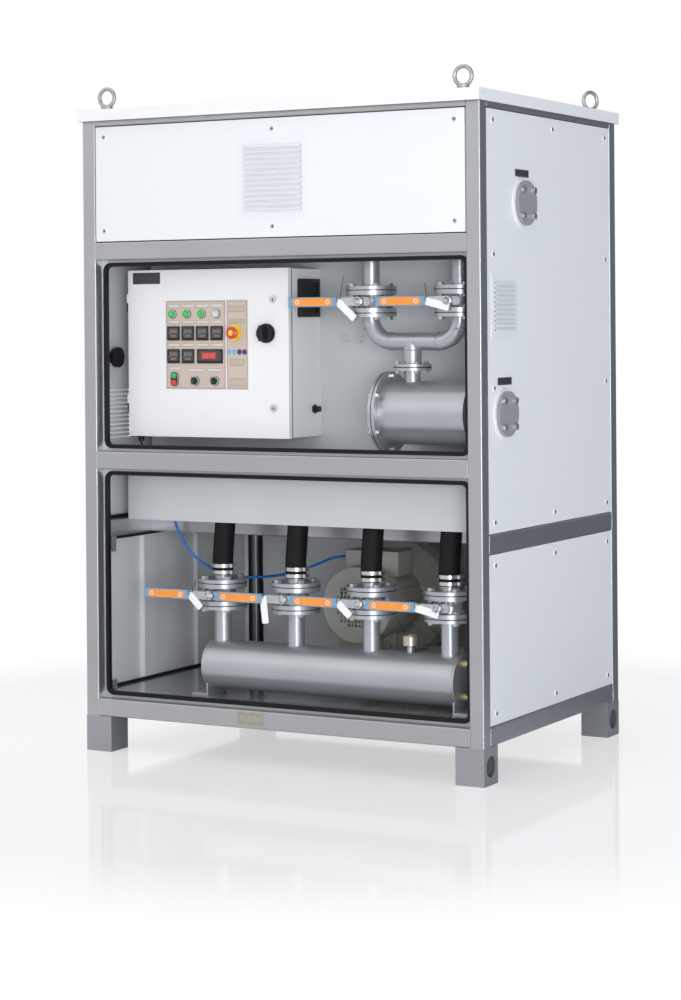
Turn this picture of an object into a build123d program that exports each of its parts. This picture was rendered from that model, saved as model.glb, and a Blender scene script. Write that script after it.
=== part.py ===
from build123d import *
from math import cos, degrees, hypot, pi, radians, sin, sqrt, tan
import os

# Free-standing dry-air unit in a tube-frame cabinet. Millimetres, +Z up, front face towards -Y,
# origin in the middle of the footprint on the floor.

# Cabinet frame
width = 1500.0
depth = 1100.0
frame_top = 2179.5
post = 50.0
tube_wall = 3.0
tube_corner = 4.5
rail_height = 60.0
top_rail_height = 54.0
shelf_rail_z = 961.0
upper_rail_z = 1671.0
side_rail_z = 722.0

# Feet
foot_side = 100.0
foot_height = 120.0
foot_wall = 6.0
foot_hole = 67.0
foot_hole_z = 58.0

# Roof and lifting eyes
sheet = 2.0
roof_rim = 38.5
roof_over_x = 8.0
roof_over_y = 20.0
eye_inset_x = 75.0
eye_inset_y = 40.0
eye_ring = 60.0
eye_bar = 13.0
eye_neck = 40.0
eye_neck_height = 14.0
eye_turns = {"front_left": 0.0, "front_right": 0.0, "rear_right": 62.0, "rear_left": 25.0}

# Panels
panel_gap = 3.0
panel_recess = 2.0
panel_fold = 20.0
panel_seal = 8.0
seal_width = 12.0
seal_show = 8.0
stiffener_width = 80.0
stiffener_depth = 16.0
stiffener_places = (-180.0, 170.0)
screw_washer = 24.0
screw_height = 3.0
screw_inset = 38.0
tab_width = 26.0
tab_thickness = 3.0
standoff = 12.0
clip_places = (82.0, 135.0)
clip_z = 1386.0
clip_width = 24.0
clip_height = 28.0
clip_reach = 16.0

# Louvres
louvre_plate = 2.0
louvre_margin = 18.0
louvre_lift = 9.0
slat_slot = 6.0
front_louvre = {"u": 0.0, "v": 1928.5, "width": 260.0, "height": 263.0, "slats": 13}
right_louvre = {"from_post": 30.0, "v": 1501.5, "width": 194.0, "height": 203.0, "slats": 11}
left_louvre = {"from_post": 63.0, "v": 1144.0, "width": 180.0, "height": 218.0, "slats": 12}

# Door openings at the front
lip_recess = 40.0
lip_width = 18.0
lip_fold = 9.0
lip_corner = 20.0
trim_outer = 9.0
trim_inner = 22.0
trim_front = 8.0
trim_back = 8.0

# Decks and inner walls
floor_top = 200.0
shelf_top = 1012.0
upper_deck_top = 1690.0
deck_fold = 20.0
deck_clear = 2.0
partition_y = -213.0
apron_y = -402.0
apron_bottom = 780.0
apron_half = 673.0
beam_depth = 50.0

# Control box
box_left = -646.0
box_right = -14.0
box_bottom = 1071.0
box_top = 1634.0
box_front = -408.0
box_lip = 15.0
door_thickness = 20.0
door_over = 2.0
door_gap = 2.0
hinge_radius = 4.0
hinge_length = 60.0
hinge_gap = 0.3
hinge_pin = 4.0
hinge_pin_clear = 0.1
hinge_end = 80.0
leaf_set = 8.0
leaf_reach = 30.0
door_sheet = 1.5
backplate_clear = 40.0

# Things on the control box door, measured from the front
overlay_left = (-494.0, -256.0)
overlay_right = (-252.0, -169.0)
overlay_z = (1231.0, 1531.0)
overlay_thickness = 1.0
device_hole = 22.0
device_bezel = 29.0
lamp_places = (-467.0, -409.0, -350.5, -292.5)
lamp_z = 1485.5
meter = 48.0
meter_wide = 100.0
meter_lift = 5.0
meter_upper_z = 1420.0
meter_lower_z = 1342.5
meter_pitch = 57.5
meter_first = -462.0
meter_wide_x = -317.0
selector_places = (-377.0, -299.0)
selector_z = 1259.5
push_x = -459.0
push_z = 1265.0
push_button = 20.0
push_pitch = 24.0
actuator = 12.0
push_travel = 3.0
estop_x = -219.0
estop_z = 1421.0
estop_head = 40.0
estop_travel = 5.0
estop_ring = 56.0
switch_x = -96.0
switch_z = 1419.0
switch_base = 65.0
lock_x = -70.0
lock_places = (1170.0, 1532.0)
lock_face = 27.0
lock_stem = 18.0
lock_cam = 48.0
slide_clear = 0.1

# Side of the control box and its cable glands
gland_thread = 20.0
gland_body = 26.0
filter_y = (-366.0, -236.0)
filter_z = (1472.0, 1600.0)
filter_lift = 14.0

# Pipework
pipe_y = -378.0
pipe = 57.0
pipe_wall = 3.0
flange = 165.0
flange_thickness = 12.0
flange_circle = 125.0
gasket = 2.0
bolt_flats = 22.0
bolt_head = 9.0
valve_length = 73.0
valve_flange = 15.0
valve_neck = 94.0
upper_valve_z = 1520.5
upper_valve_x = (272.0, 594.0)
lower_valve_z = 540.0
lower_valve_x = (-306.0, -21.0, 264.0, 549.0)
cross_pipe_z = 1390.0
elbow = 76.0
branch_x = 421.0
branch_pipe = 60.0
branch_flange = 125.0
branch_flange_top = 1317.0
branch_flange_thickness = 9.5

# Valve levers
boss = 38.0
stem = 16.0
stem_depth = 36.0
lug_front = -464.5
lug_thickness = 4.0
lug_reach = 43.0
lever_front = -475.0
lever_thickness = 5.0
lever_height = 31.0
lever_reach = 255.0
grip_start = 75.0
grip_height = 33.0
grip_thickness = 13.0
nut_height = 9.0
nut_flats = 26.0
tag_length = 65.0
tag_width = 18.0
tag_angles = {"upper": (-42.0, -14.0), "lower": (-45.0, -84.0, -43.0, -13.0)}

# Heater tank
tank_z = 1159.0
tank = 206.0
tank_wall = 4.0
tank_left = 347.0
tank_right = 642.0
tank_flange = 267.0
tank_flange_thickness = 10.0
tank_bolts = 6
tank_circle = 240.0
element = 12.0
element_circle = 110.0
element_length = 240.0

# Ports on the right side
port_upper = (-224.0, 1834.0)
port_lower = (pipe_y, tank_z)
port_ring = 165.0
port_ring_thickness = 6.0
port_cover = 144.0
port_cover_thickness = 12.0
port_circle = 118.0

# Manifold, hoses and gauge
manifold = 165.0
manifold_wall = 4.5
manifold_z = 300.0
manifold_left = -344.0
manifold_right = 599.0
manifold_end = 8.0
bracket_thickness = 6.0
bracket_width = 60.0
hose = 70.0
hose_bore = 58.0
hose_start = 603.0
hose_lean_z = 660.0
hose_lean = 0.15
hose_top_z = 930.0
hose_bend = 105.0
hose_end_y = -120.0
spigot_length = 62.0
clamp_places = (612.0, 634.0)
clamp_width = 12.0
clamp_thickness = 1.2
gauge_x = 406.0
gauge_case = 50.0
gauge_bottom = 404.0
gauge_height = 31.0
gauge_recess = 9.0

# Adsorber vessels behind the partition
vessel = 400.0
vessel_y = 130.0
vessel_bottom = 1060.0
vessel_top = 1640.0
vessel_dish = 60.0
collector = 76.0

# Blower and its motor
blower_x = 0.0
blower_z = 471.0
cowl_y = 0.0
cowl = 270.0
cowl_length = 96.0
cowl_wall = 4.0
cowl_round = 8.0
cowl_lug = 18.0
shield_depth = 10.0
grille_radius = 84.0
grille_pitch = 14.0
grille_hole = 9.0
motor = 226.0
motor_length = 190.0
fin_depth = 12.0
fin_thickness = 5.0
fin_count = 28
housing_radius = 215.0
housing_depth = 150.0
housing_hub = 118.0
rib_count = 36
rib_thickness = 7.0
rib_height = 10.0
shaft = 28.0
running_clear = 0.1
motor_setback = 4.0
impeller_gap = 2.0
impeller = 300.0
impeller_depth = 40.0
terminal_width = 208.0
terminal_depth = 112.0
terminal_height = 66.0
terminal_y = 120.0
terminal_gland = 20.0
blower_foot_half = 305.0
blower_foot_top = 298.0
blower_foot_depth = 44.0

# Left wall cable entries, which reach as far out as the port bolts on the right
gland_from_front = 120.0
gland_z = 1339.0
gland_disc = 70.0
gland_stub = 40.0

# Loose lead on the shelf and cable to the motor
lead = 6.5
coil_centre = (-498.0, -300.0)
coil_outer = 160.0
coil_inner = 92.0
coil_height = 34.0
cable = 9.0

# Worked-out places
half_w = width / 2
half_d = depth / 2
roof_top = frame_top + sheet
top_rail_z = frame_top - top_rail_height
gland_y = -half_d + gland_from_front
right_louvre["u"] = -half_d + post + right_louvre["from_post"] + right_louvre["width"] / 2
left_louvre["u"] = half_d - post - left_louvre["from_post"] - left_louvre["width"] / 2
port_reach = half_w - panel_recess + port_ring_thickness + port_cover_thickness + bolt_head
valve_half = valve_length / 2
hinge_x = box_left - door_over
door_front = box_front - door_gap - door_thickness
hinge_axis = (hinge_x - hinge_radius, door_front + hinge_radius)
floor_bottom = foot_height + rail_height
cowl_front = cowl_y
motor_front = cowl_front + cowl_length
housing_front = motor_front + motor_length

walls = {
    "front": Plane(origin=(0, -half_d, 0), x_dir=(1, 0, 0), z_dir=(0, -1, 0)),
    "right": Plane(origin=(half_w, 0, 0), x_dir=(0, 1, 0), z_dir=(1, 0, 0)),
    "left": Plane(origin=(-half_w, 0, 0), x_dir=(0, -1, 0), z_dir=(-1, 0, 0)),
    "rear": Plane(origin=(0, half_d, 0), x_dir=(-1, 0, 0), z_dir=(0, 1, 0)),
}


def block(x0, x1, y0, y1, z0, z1):
    """Box between two corners."""
    centre = ((x0 + x1) / 2, (y0 + y1) / 2, (z0 + z1) / 2)
    return Pos(*centre) * Box(x1 - x0, y1 - y0, z1 - z0)


def rod(start, end, diameter):
    """Round bar between two points."""
    axis = Vector(*end) - Vector(*start)
    base = Plane(origin=start, z_dir=axis)
    return base * Cylinder(diameter / 2, axis.length, align=(Align.CENTER, Align.CENTER, Align.MIN))


def ring(start, end, outer, inner):
    """Round bar with a hole right through it."""
    axis = Vector(*end) - Vector(*start)
    step = axis.normalized() * 1.0
    low = Vector(*start) - step
    high = Vector(*end) + step
    return rod(start, end, outer) - rod(tuple(low), tuple(high), inner)


def hexagon(start, end, flats):
    """Six-sided bar between two points, as a bolt head or a nut."""
    axis = Vector(*end) - Vector(*start)
    base = Plane(origin=start, z_dir=axis)
    return extrude(base * RegularPolygon(flats / sqrt(3), 6), amount=axis.length)


def bent_bar(points, bend, diameter, bore=0.0):
    """Round bar or pipe along straight runs joined by arcs."""
    path = FilletPolyline(*points, radius=bend)
    section = Plane(origin=path @ 0, z_dir=path % 0) * Circle(diameter / 2)
    if bore > 0:
        section -= Plane(origin=path @ 0, z_dir=path % 0) * Circle(bore / 2)
    return sweep(section, path=path)


def turned(profile, origin, axis_dir, side_dir):
    """Profile of (radius, height) points turned about an axis."""
    sketch = Plane.XZ * make_face(Polyline(*profile, close=True))
    solid = revolve(sketch, axis=Axis.Z)
    return Plane(origin=origin, x_dir=side_dir, z_dir=axis_dir) * solid


def square_tube(x0, x1, y0, y1, z0, z1, along):
    """Hollow tube with rounded corners between two places, open at both ends along one axis."""
    starts = {"x": (x0, (y0 + y1) / 2, (z0 + z1) / 2), "y": ((x0 + x1) / 2, y0, (z0 + z1) / 2),
              "z": ((x0 + x1) / 2, (y0 + y1) / 2, z0)}
    across = {"x": (y1 - y0, z1 - z0), "y": (z1 - z0, x1 - x0), "z": (x1 - x0, y1 - y0)}[along]
    length = {"x": x1 - x0, "y": y1 - y0, "z": z1 - z0}[along]
    side, axis = {"x": ((0, 1, 0), (1, 0, 0)), "y": ((0, 0, 1), (0, 1, 0)), "z": ((1, 0, 0), (0, 0, 1))}[along]
    section = RectangleRounded(*across, tube_corner)
    section -= RectangleRounded(across[0] - 2 * tube_wall, across[1] - 2 * tube_wall, tube_corner - tube_wall)
    return extrude(Plane(origin=starts[along], x_dir=side, z_dir=axis) * section, amount=length)


def write(name, pieces):
    """One STEP file per named piece or group of like pieces."""
    solids = []
    for piece in pieces:
        solids.extend(piece.solids())
    shape = solids[0] if len(solids) == 1 else Compound(children=solids)
    shape.label = name
    export_step(shape, os.path.join("parts", name + ".step"))


# Frame, feet and roof

def frame_posts():
    """Four square tubes that stand on the feet and carry the roof."""
    posts = []
    for sx in (-1, 1):
        for sy in (-1, 1):
            xs = sorted((sx * half_w, sx * (half_w - post)))
            ys = sorted((sy * half_d, sy * (half_d - post)))
            posts.append(square_tube(*xs, *ys, foot_height, frame_top, "z"))
    return posts


def frame_rails():
    """Cross tubes welded between the posts, at the front, rear and sides, and one inner beam."""
    rails = []
    inner_x = half_w - post
    inner_y = half_d - post
    levels = [(foot_height, rail_height), (shelf_rail_z, rail_height),
              (upper_rail_z, rail_height), (top_rail_z, top_rail_height)]
    for low, height in levels:
        for sy in (-1, 1):
            ys = sorted((sy * half_d, sy * inner_y))
            rails.append(square_tube(-inner_x, inner_x, *ys, low, low + height, "x"))
    for low, height in [levels[0], (side_rail_z, rail_height), levels[3]]:
        for sx in (-1, 1):
            xs = sorted((sx * half_w, sx * inner_x))
            rails.append(square_tube(*xs, -inner_y, inner_y, low, low + height, "y"))
    beam_back = partition_y + beam_depth
    rails.append(square_tube(-inner_x, inner_x, partition_y, beam_back,
                             side_rail_z, side_rail_z + rail_height, "x"))
    return rails


def feet():
    """Four box feet, each open below with a round lifting hole through its outer side."""
    pieces = []
    for sx in (-1, 1):
        for sy in (-1, 1):
            xs = sorted((sx * half_w, sx * (half_w - foot_side)))
            ys = sorted((sy * half_d, sy * (half_d - foot_side)))
            foot = block(*xs, *ys, 0, foot_height)
            foot -= block(xs[0] + foot_wall, xs[1] - foot_wall, ys[0] + foot_wall, ys[1] - foot_wall,
                          -1, foot_height - foot_wall)
            middle = (ys[0] + ys[1]) / 2
            foot -= rod((sx * (half_w - foot_wall - 1), middle, foot_hole_z),
                        (sx * (half_w + 1), middle, foot_hole_z), foot_hole)
            pieces.append(foot)
    return pieces


def roof():
    """Folded tray lid with a rim all round."""
    x = half_w + roof_over_x
    y = half_d + roof_over_y
    lid = block(-x, x, -y, y, roof_top - roof_rim, roof_top)
    return [lid - block(-x + sheet, x - sheet, -y + sheet, y - sheet, roof_top - roof_rim - 1, frame_top)]


def lifting_eyes():
    """Eye bolts on the roof corners, turned as they were left when screwed in."""
    eyes = []
    for name, turn in eye_turns.items():
        x = (half_w - eye_inset_x) * (1 if "right" in name else -1)
        y = (half_d - eye_inset_y) * (1 if "rear" in name else -1)
        collar = rod((0, 0, 0), (0, 0, eye_neck_height), eye_neck)
        height = eye_ring / 2 + eye_bar / 2 + eye_neck_height / 2
        loop = Pos(0, 0, height) * Rot(90, 0, 0) * Torus(eye_ring / 2, eye_bar / 2)
        eyes.append(Pos(x, y, roof_top) * Rot(0, 0, turn) * (collar + loop))
    return eyes


# Outer panels and what fastens them

def louvre_window(spec):
    """Cut-out in a panel behind a louvre plate."""
    cut_w = spec["width"] - 2 * louvre_margin
    cut_h = spec["height"] - 2 * louvre_margin
    return Pos(spec["u"], spec["v"], 0) * Box(cut_w, cut_h, 4 * panel_fold)


def panel_tray(side, u0, u1, v0, v1, cuts=()):
    """Sheet panel with its four edges folded inwards."""
    low = -panel_recess - panel_fold
    middle = ((u0 + u1) / 2, (v0 + v1) / 2)
    outer = Pos(*middle, (low - panel_recess) / 2) * Box(u1 - u0, v1 - v0, panel_fold)
    inner_top = -panel_recess - sheet
    inner = Box(u1 - u0 - 2 * sheet, v1 - v0 - 2 * sheet, panel_fold)
    tray = outer - Pos(*middle, inner_top - panel_fold / 2) * inner
    for cut in cuts:
        tray -= cut
    return walls[side] * tray


def panel_fields():
    """Width and height limits of each framed field, by side."""
    reach_y = half_d - post
    reach_x = half_w - post
    top = top_rail_z
    low = foot_height + rail_height
    mid = side_rail_z + rail_height
    return {
        "front": [(-reach_x, reach_x, upper_rail_z + rail_height, top)],
        "right": [(-reach_y, reach_y, mid, top), (-reach_y, reach_y, low, side_rail_z)],
        "left": [(-reach_y, reach_y, mid, top), (-reach_y, reach_y, low, side_rail_z)],
        "rear": [(-reach_x, reach_x, low, shelf_rail_z),
                 (-reach_x, reach_x, shelf_rail_z + rail_height, upper_rail_z),
                 (-reach_x, reach_x, upper_rail_z + rail_height, top)],
    }


def inset(field, amount):
    """Field made smaller by one amount all round."""
    u0, u1, v0, v1 = field
    return u0 + amount, u1 - amount, v0 + amount, v1 - amount


def port_cut(centre):
    """Round hole in the right panel for a port pipe."""
    return Pos(centre[0], centre[1], 0) * Cylinder(pipe / 2 + panel_gap, 4 * panel_fold)


def gland_cut():
    """Round hole in the left panel for the cable entry."""
    return Pos(-gland_y, gland_z, 0) * Cylinder(gland_stub / 2 + panel_gap / 2, 4 * panel_fold)


def side_panels(side):
    """Panels of one side, with the cut-outs that this side has in its upper one."""
    cuts = {
        "front": [louvre_window(front_louvre)],
        "right": [louvre_window(right_louvre), port_cut(port_upper), port_cut(port_lower)],
        "left": [louvre_window(left_louvre), gland_cut()],
        "rear": [],
    }[side]
    pieces = []
    for index, field in enumerate(panel_fields()[side]):
        pieces.append(panel_tray(side, *inset(field, panel_gap), cuts if index == 0 else ()))
    if side in ("left", "right"):
        pieces.extend(panel_stiffeners(side))
    return pieces


def panel_stiffeners(side):
    """Upright hat sections inside the lower side panel."""
    u0, u1, v0, v1 = inset(panel_fields()[side][1], panel_gap + sheet)
    sign = 1 if side == "right" else -1
    ribs = []
    top = -panel_recess - sheet
    for place in stiffener_places:
        centre = sign * place
        hat = Pos(centre, (v0 + v1) / 2, top - stiffener_depth / 2) * Box(
            stiffener_width, v1 - v0, stiffener_depth)
        hollow = Pos(centre, (v0 + v1) / 2, top - stiffener_depth / 2 + sheet) * Box(
            stiffener_width - 2 * sheet, v1 - v0 + 1, stiffener_depth)
        ribs.append(walls[side] * (hat - hollow))
    return ribs


def panel_seals():
    """Rubber strips between the framed fields and the folded panel edges."""
    strips = []
    back = -panel_recess - panel_fold
    for side in ("front", "left", "right", "rear"):
        for field in panel_fields()[side]:
            u0, u1, v0, v1 = field
            low = floor_top + seal_show if v0 < floor_top else v0 + seal_width
            high = v1 - seal_width
            outer = Pos((u0 + u1) / 2, (v0 + v1) / 2, 0) * Box(u1 - u0, v1 - v0, panel_seal)
            inner = Pos((u0 + u1) / 2, (low + high) / 2, 0) * Box(
                u1 - u0 - 2 * seal_width, high - low, panel_seal + 1)
            strips.append(walls[side] * (Pos(0, 0, back - panel_seal / 2) * (outer - inner)))
    return strips


def screw_places():
    """Places of the panel screws on each side, seen from outside."""
    places = {"front": [], "right": [], "left": [], "rear": []}
    front = inset(panel_fields()["front"][0], screw_inset)
    for u in (front[0], 0.0, front[1]):
        for v in front[2:]:
            places["front"].append((u, v))
    for side in ("right", "left"):
        sign = 1 if side == "right" else -1
        upper, lower = [inset(field, screw_inset) for field in panel_fields()[side]]
        for u in (upper[0] + 7, 10.0 * sign, upper[1] - 7):
            places[side].append((u, upper[2]))
            places[side].append((u, upper[3]))
            places[side].append((u, lower[2]))
            places[side].append((u, lower[3]))
        for u in (upper[0] + 7, upper[1] - 7):
            for step in (1, 2):
                places[side].append((u, upper[2] + (upper[3] - upper[2]) * step / 3))
    for field in panel_fields()["rear"]:
        rear = inset(field, screw_inset)
        for u in (rear[0], rear[1]):
            for v in rear[2:]:
                places["rear"].append((u, v))
    return places


def panel_screws():
    """Domed cover washers over the panel screws."""
    pieces = []
    for side, places in screw_places().items():
        for u, v in places:
            washer = Cone(screw_washer / 2, screw_washer / 3, screw_height,
                          align=(Align.CENTER, Align.CENTER, Align.MIN))
            pieces.append(walls[side] * (Pos(u, v, -panel_recess) * washer))
    return pieces


def panel_tabs():
    """Fixing tabs in the corners of the lower side fields, with their round standoffs."""
    pieces = []
    for side in ("left", "right"):
        field = panel_fields()[side][1]
        inner = inset(field, screw_inset)
        back = -panel_recess - sheet
        for u in (inner[0] + 7, inner[1] - 7):
            for v, edge in ((inner[2], floor_top), (inner[3], field[3])):
                reach = post + tab_thickness
                low, high = sorted((v + (tab_width / 2 if edge < v else -tab_width / 2), edge))
                tab = Pos(u, (low + high) / 2, -reach + tab_thickness / 2) * Box(
                    tab_width, high - low, tab_thickness)
                lip = Pos(u, v, back) * Cylinder(standoff / 2, post - (-back),
                                                 align=(Align.CENTER, Align.CENTER, Align.MAX))
                pieces.append(walls[side] * tab)
                pieces.append(walls[side] * lip)
    for x in clip_places:
        near, far = x - clip_width / 2, x + clip_width / 2
        clip = block(near, far, partition_y - clip_reach, partition_y, clip_z, clip_z + tab_thickness)
        clip += block(near, far, partition_y - tab_thickness, partition_y, clip_z, clip_z + clip_height)
        pieces.append(clip)
    return pieces


def louvre(side, spec):
    """Screwed plate with a row of pressed slats, each a sloping hood over its slot."""
    w, h, count = spec["width"], spec["height"], spec["slats"]
    field_w = w - 2 * louvre_margin - 2 * sheet
    field_h = h - 2 * louvre_margin - 2 * sheet
    pitch = field_h / count
    plate = Box(w, h, louvre_plate, align=(Align.CENTER, Align.CENTER, Align.MIN))
    hoods = []
    for index in range(count):
        low = -field_h / 2 + pitch * (index + 0.25)
        plate -= Pos(0, low + slat_slot / 2, 0) * Box(field_w, slat_slot, 4 * louvre_plate)
        rise = pitch * 0.7
        profile = Plane.YZ * make_face(Polyline(
            (low, louvre_lift), (low + louvre_plate, louvre_lift), (low + rise, louvre_plate),
            (low + rise, 0.5), (low + rise - louvre_plate, 0.5), (low, louvre_lift - louvre_plate),
            close=True))
        hoods.append(extrude(profile, amount=field_w / 2, both=True))
    for hood in hoods:
        plate += hood
    return walls[side] * (Pos(spec["u"], spec["v"], -panel_recess) * plate)


# Door openings

def opening_fields():
    """Width and height limits of the two open compartments."""
    x = half_w - post
    return [(-x, x, shelf_rail_z + rail_height, upper_rail_z), (-x, x, floor_bottom, shelf_rail_z)]


def rounded_frame(outer, inner, inner_corner, y_front, y_back):
    """Flat frame with a rounded inner corner, standing in the front plane."""
    def face(field, corner):
        u0, u1, v0, v1 = field
        shape = RectangleRounded(u1 - u0, v1 - v0, corner) if corner else Rectangle(u1 - u0, v1 - v0)
        return Pos((u0 + u1) / 2, (v0 + v1) / 2) * shape
    sketch = face(outer[0], outer[1]) - face(inner, inner_corner)
    plane = Plane(origin=(0, y_back, 0), x_dir=(1, 0, 0), z_dir=(0, -1, 0))
    return extrude(plane * sketch, amount=y_back - y_front)


def opening_lips():
    """Sheet frame round each opening, folded inwards along its inner edge."""
    pieces = []
    front = -half_d + lip_recess
    for field in opening_fields():
        inner = inset(field, lip_width)
        edge = inset(field, lip_width - sheet)
        flat = rounded_frame((field, 0), inner, lip_corner, front, front + sheet)
        fold = rounded_frame((edge, lip_corner + sheet), inner, lip_corner, front, front + lip_fold)
        pieces.append(flat + fold)
    return pieces


def door_seals():
    """Rubber edge trim pushed over the inner fold of each opening."""
    pieces = []
    front = -half_d + lip_recess
    outer_corner = lip_corner + lip_width - trim_outer
    inner_corner = lip_corner + lip_width - trim_inner
    for field in opening_fields():
        outer = inset(field, trim_outer)
        middle = inset(field, lip_width)
        inner = inset(field, trim_inner)
        bead = rounded_frame((outer, outer_corner), inner, inner_corner, front - trim_front, front)
        leg = rounded_frame((middle, lip_corner), inner, inner_corner, front, front + trim_back)
        pieces.append(bead + leg)
    return pieces


# Decks and inner walls

def deck(top, holes=()):
    """Folded deck tray with its corners cut out round the posts."""
    x = half_w - post - deck_clear
    y = half_d - post - deck_clear
    low = top - deck_fold
    solid = block(-x, x, -y, y, low, top)
    solid -= block(-x + sheet, x - sheet, -y + sheet, y - sheet, low - 1, top - sheet)
    for cx, cy, diameter in holes:
        solid -= rod((cx, cy, low - 1), (cx, cy, top + 1), diameter)
    return solid


def floor_deck():
    """Lower deck on the bottom rails."""
    inner = panel_recess + panel_fold + panel_seal + deck_clear / 2
    x = half_w - inner
    y = half_d - post
    tray = block(-x, x, -y, y, floor_bottom, floor_top)
    tray -= block(-x + sheet, x - sheet, -y + sheet, y - sheet, floor_bottom - 1, floor_top - sheet)
    return [tray]


def shelf_decks():
    """Middle and upper decks with clearance holes for the vessel pipes."""
    shelf_holes = [(x, vessel_y, pipe + 10) for x in vessel_places()]
    pipe_holes = [(x, pipe_y, pipe + 7) for x in upper_valve_x]
    pipe_holes += [(x, vessel_y, pipe + 7) for x in vessel_places()]
    return [deck(shelf_top, shelf_holes), deck(upper_deck_top, pipe_holes)]


def partition_wall():
    """Upright sheet that closes the middle compartment at the back."""
    x = half_w - post - deck_clear
    return [block(-x, x, partition_y, partition_y + sheet, shelf_top, upper_deck_top - deck_fold)]


def deck_apron():
    """Cross sheet under the middle deck, folded back along its lower edge."""
    low = shelf_top - deck_fold
    sheet_wall = block(-apron_half, apron_half, apron_y, apron_y + sheet, apron_bottom, low)
    sheet_wall += block(-apron_half, apron_half, apron_y, apron_y + 3 * sheet, apron_bottom,
                        apron_bottom + sheet)
    top_fold = block(-apron_half, apron_half, apron_y, apron_y + deck_fold, low - sheet, low)
    return [sheet_wall + top_fold]


# Control box

def control_box():
    """Wall-mounted steel box, open at the front with a return lip."""
    shell = block(box_left, box_right, box_front, partition_y, box_bottom, box_top)
    shell -= block(box_left + door_sheet, box_right - door_sheet, box_front + door_sheet,
                   partition_y - door_sheet, box_bottom + door_sheet, box_top - door_sheet)
    shell -= block(box_left + box_lip, box_right - box_lip, box_front - 1, box_front + door_sheet + 1,
                   box_bottom + box_lip, box_top - box_lip)
    shell -= rod((box_right - 5, gland_side()[1], gland_side()[2]),
                 (box_right + 5, gland_side()[1], gland_side()[2]), gland_thread)
    shell -= rod((*gland_under()[:2], box_bottom - 5), (*gland_under()[:2], box_bottom + 5), gland_thread)
    return [shell]


def box_backplate():
    """Mounting plate on four pillars, with its rails and the devices clipped on them."""
    back = partition_y - door_sheet
    face = back - backplate_clear / 2
    x0, x1 = box_left + backplate_clear, box_right - backplate_clear
    z0, z1 = box_bottom + backplate_clear, box_top - backplate_clear
    plate = block(x0, x1, face - sheet, face, z0, z1)
    for x in (x0 + 20, x1 - 20):
        for z in (z0 + 20, z1 - 20):
            plate += rod((x, face, z), (x, back, z), standoff)
    devices = []
    depths = (70.0, 55.0, 45.0)
    level_step = (z1 - z0) / 3
    for row, device_depth in enumerate(depths):
        z = z1 - level_step * (row + 0.5)
        rail = block(x0 + 20, x1 - 20, face - sheet - 8, face - sheet, z - 17.5, z + 17.5)
        front = face - sheet - 8
        body = block(x0 + 30, x1 - 30 - 60 * row, front - device_depth, front, z - 40, z + 40)
        devices.append(rail + body)
    return [plate] + devices


def box_fan_filter():
    """Filter grille on the side of the control box, with a row of sloping bars."""
    y0, y1 = filter_y
    z0, z1 = filter_z
    frame_width = 12.0
    grille = block(box_right, box_right + filter_lift, y0, y1, z0, z1)
    grille -= block(box_right + 3, box_right + filter_lift + 1, y0 + frame_width, y1 - frame_width,
                    z0 + frame_width, z1 - frame_width)
    bars = 9
    pitch = (z1 - z0 - 2 * frame_width) / bars
    for index in range(bars):
        z = z0 + frame_width + pitch * (index + 0.5)
        grille += block(box_right + 2.5, box_right + filter_lift - 3, y0 + frame_width - 1,
                        y1 - frame_width + 1, z - pitch * 0.22, z + pitch * 0.22)
    return [grille]


def gland_side():
    """Place of the gland on the right side of the control box."""
    return (box_right, -260.0, 1162.0)


def gland_under():
    """Place of the gland under the control box, where the loose lead comes out."""
    return (-628.0, -386.0, box_bottom)


def cable_glands():
    """Threaded glands on the control box and the disc entries through the left wall."""
    pieces = []
    x, y, z = gland_side()
    pieces.append(rod((x - 8, y, z), (x, y, z), gland_thread - 1)
                  + hexagon((x, y, z), (x + 9, y, z), gland_body)
                  + rod((x + 9, y, z), (x + 24, y, z), gland_body - 6))
    x, y, z = gland_under()
    nut = hexagon((x, y, z), (x, y, z - 9), gland_body)
    cap = ring((x, y, z - 9), (x, y, z - 22), gland_body - 6, lead)
    pieces.append(rod((x, y, z + 8), (x, y, z), gland_thread - 1) + nut + cap)
    inner = half_w - 55.0
    stub = rod((-inner, gland_y, gland_z), (-port_reach, gland_y, gland_z), gland_stub)
    disc = rod((-inner + 7, gland_y, gland_z), (-inner - 6, gland_y, gland_z), gland_disc)
    collar = rod((-half_w + panel_recess, gland_y, gland_z),
                 (-half_w + panel_recess - port_ring_thickness, gland_y, gland_z), gland_disc)
    pieces.append(stub + disc + collar)
    return pieces


def door_holes():
    """Round holes in the door for what turns or slides in it."""
    holes = [(x, selector_z, stem_hole()) for x in selector_places]
    holes += [(push_x, push_z + dz, stem_hole()) for dz in (push_pitch / 2, -push_pitch / 2)]
    holes += [(estop_x, estop_z, stem_hole()), (switch_x, switch_z, stem_hole())]
    holes += [(lock_x, z, lock_stem + 2 * slide_clear) for z in lock_places]
    return holes


def stem_hole():
    """Hole for an actuator stem with its clearance."""
    return actuator + 2 * slide_clear


def hinge_middles():
    """Height of the middle of each hinge, where its two knuckles meet."""
    reach = hinge_end + hinge_length / 2
    return (box_bottom + reach, box_top - reach)


def upper_knuckle(low, high):
    """Bored hinge knuckle of the door: half round on the left of the axis and square up to the door."""
    x, y = hinge_axis
    r = hinge_radius
    nose = ThreePointArc((x, y - r), (x - r, y), (x, y + r))
    sides = Polyline((x, y + r), (hinge_x, y + r), (hinge_x, y - r), (x, y - r))
    face = make_face(nose.edges() + sides.edges()) - Pos(x, y) * Circle(hinge_pin / 2 + hinge_pin_clear)
    return extrude(Plane.XY.offset(low) * face, amount=high - low)


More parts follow.
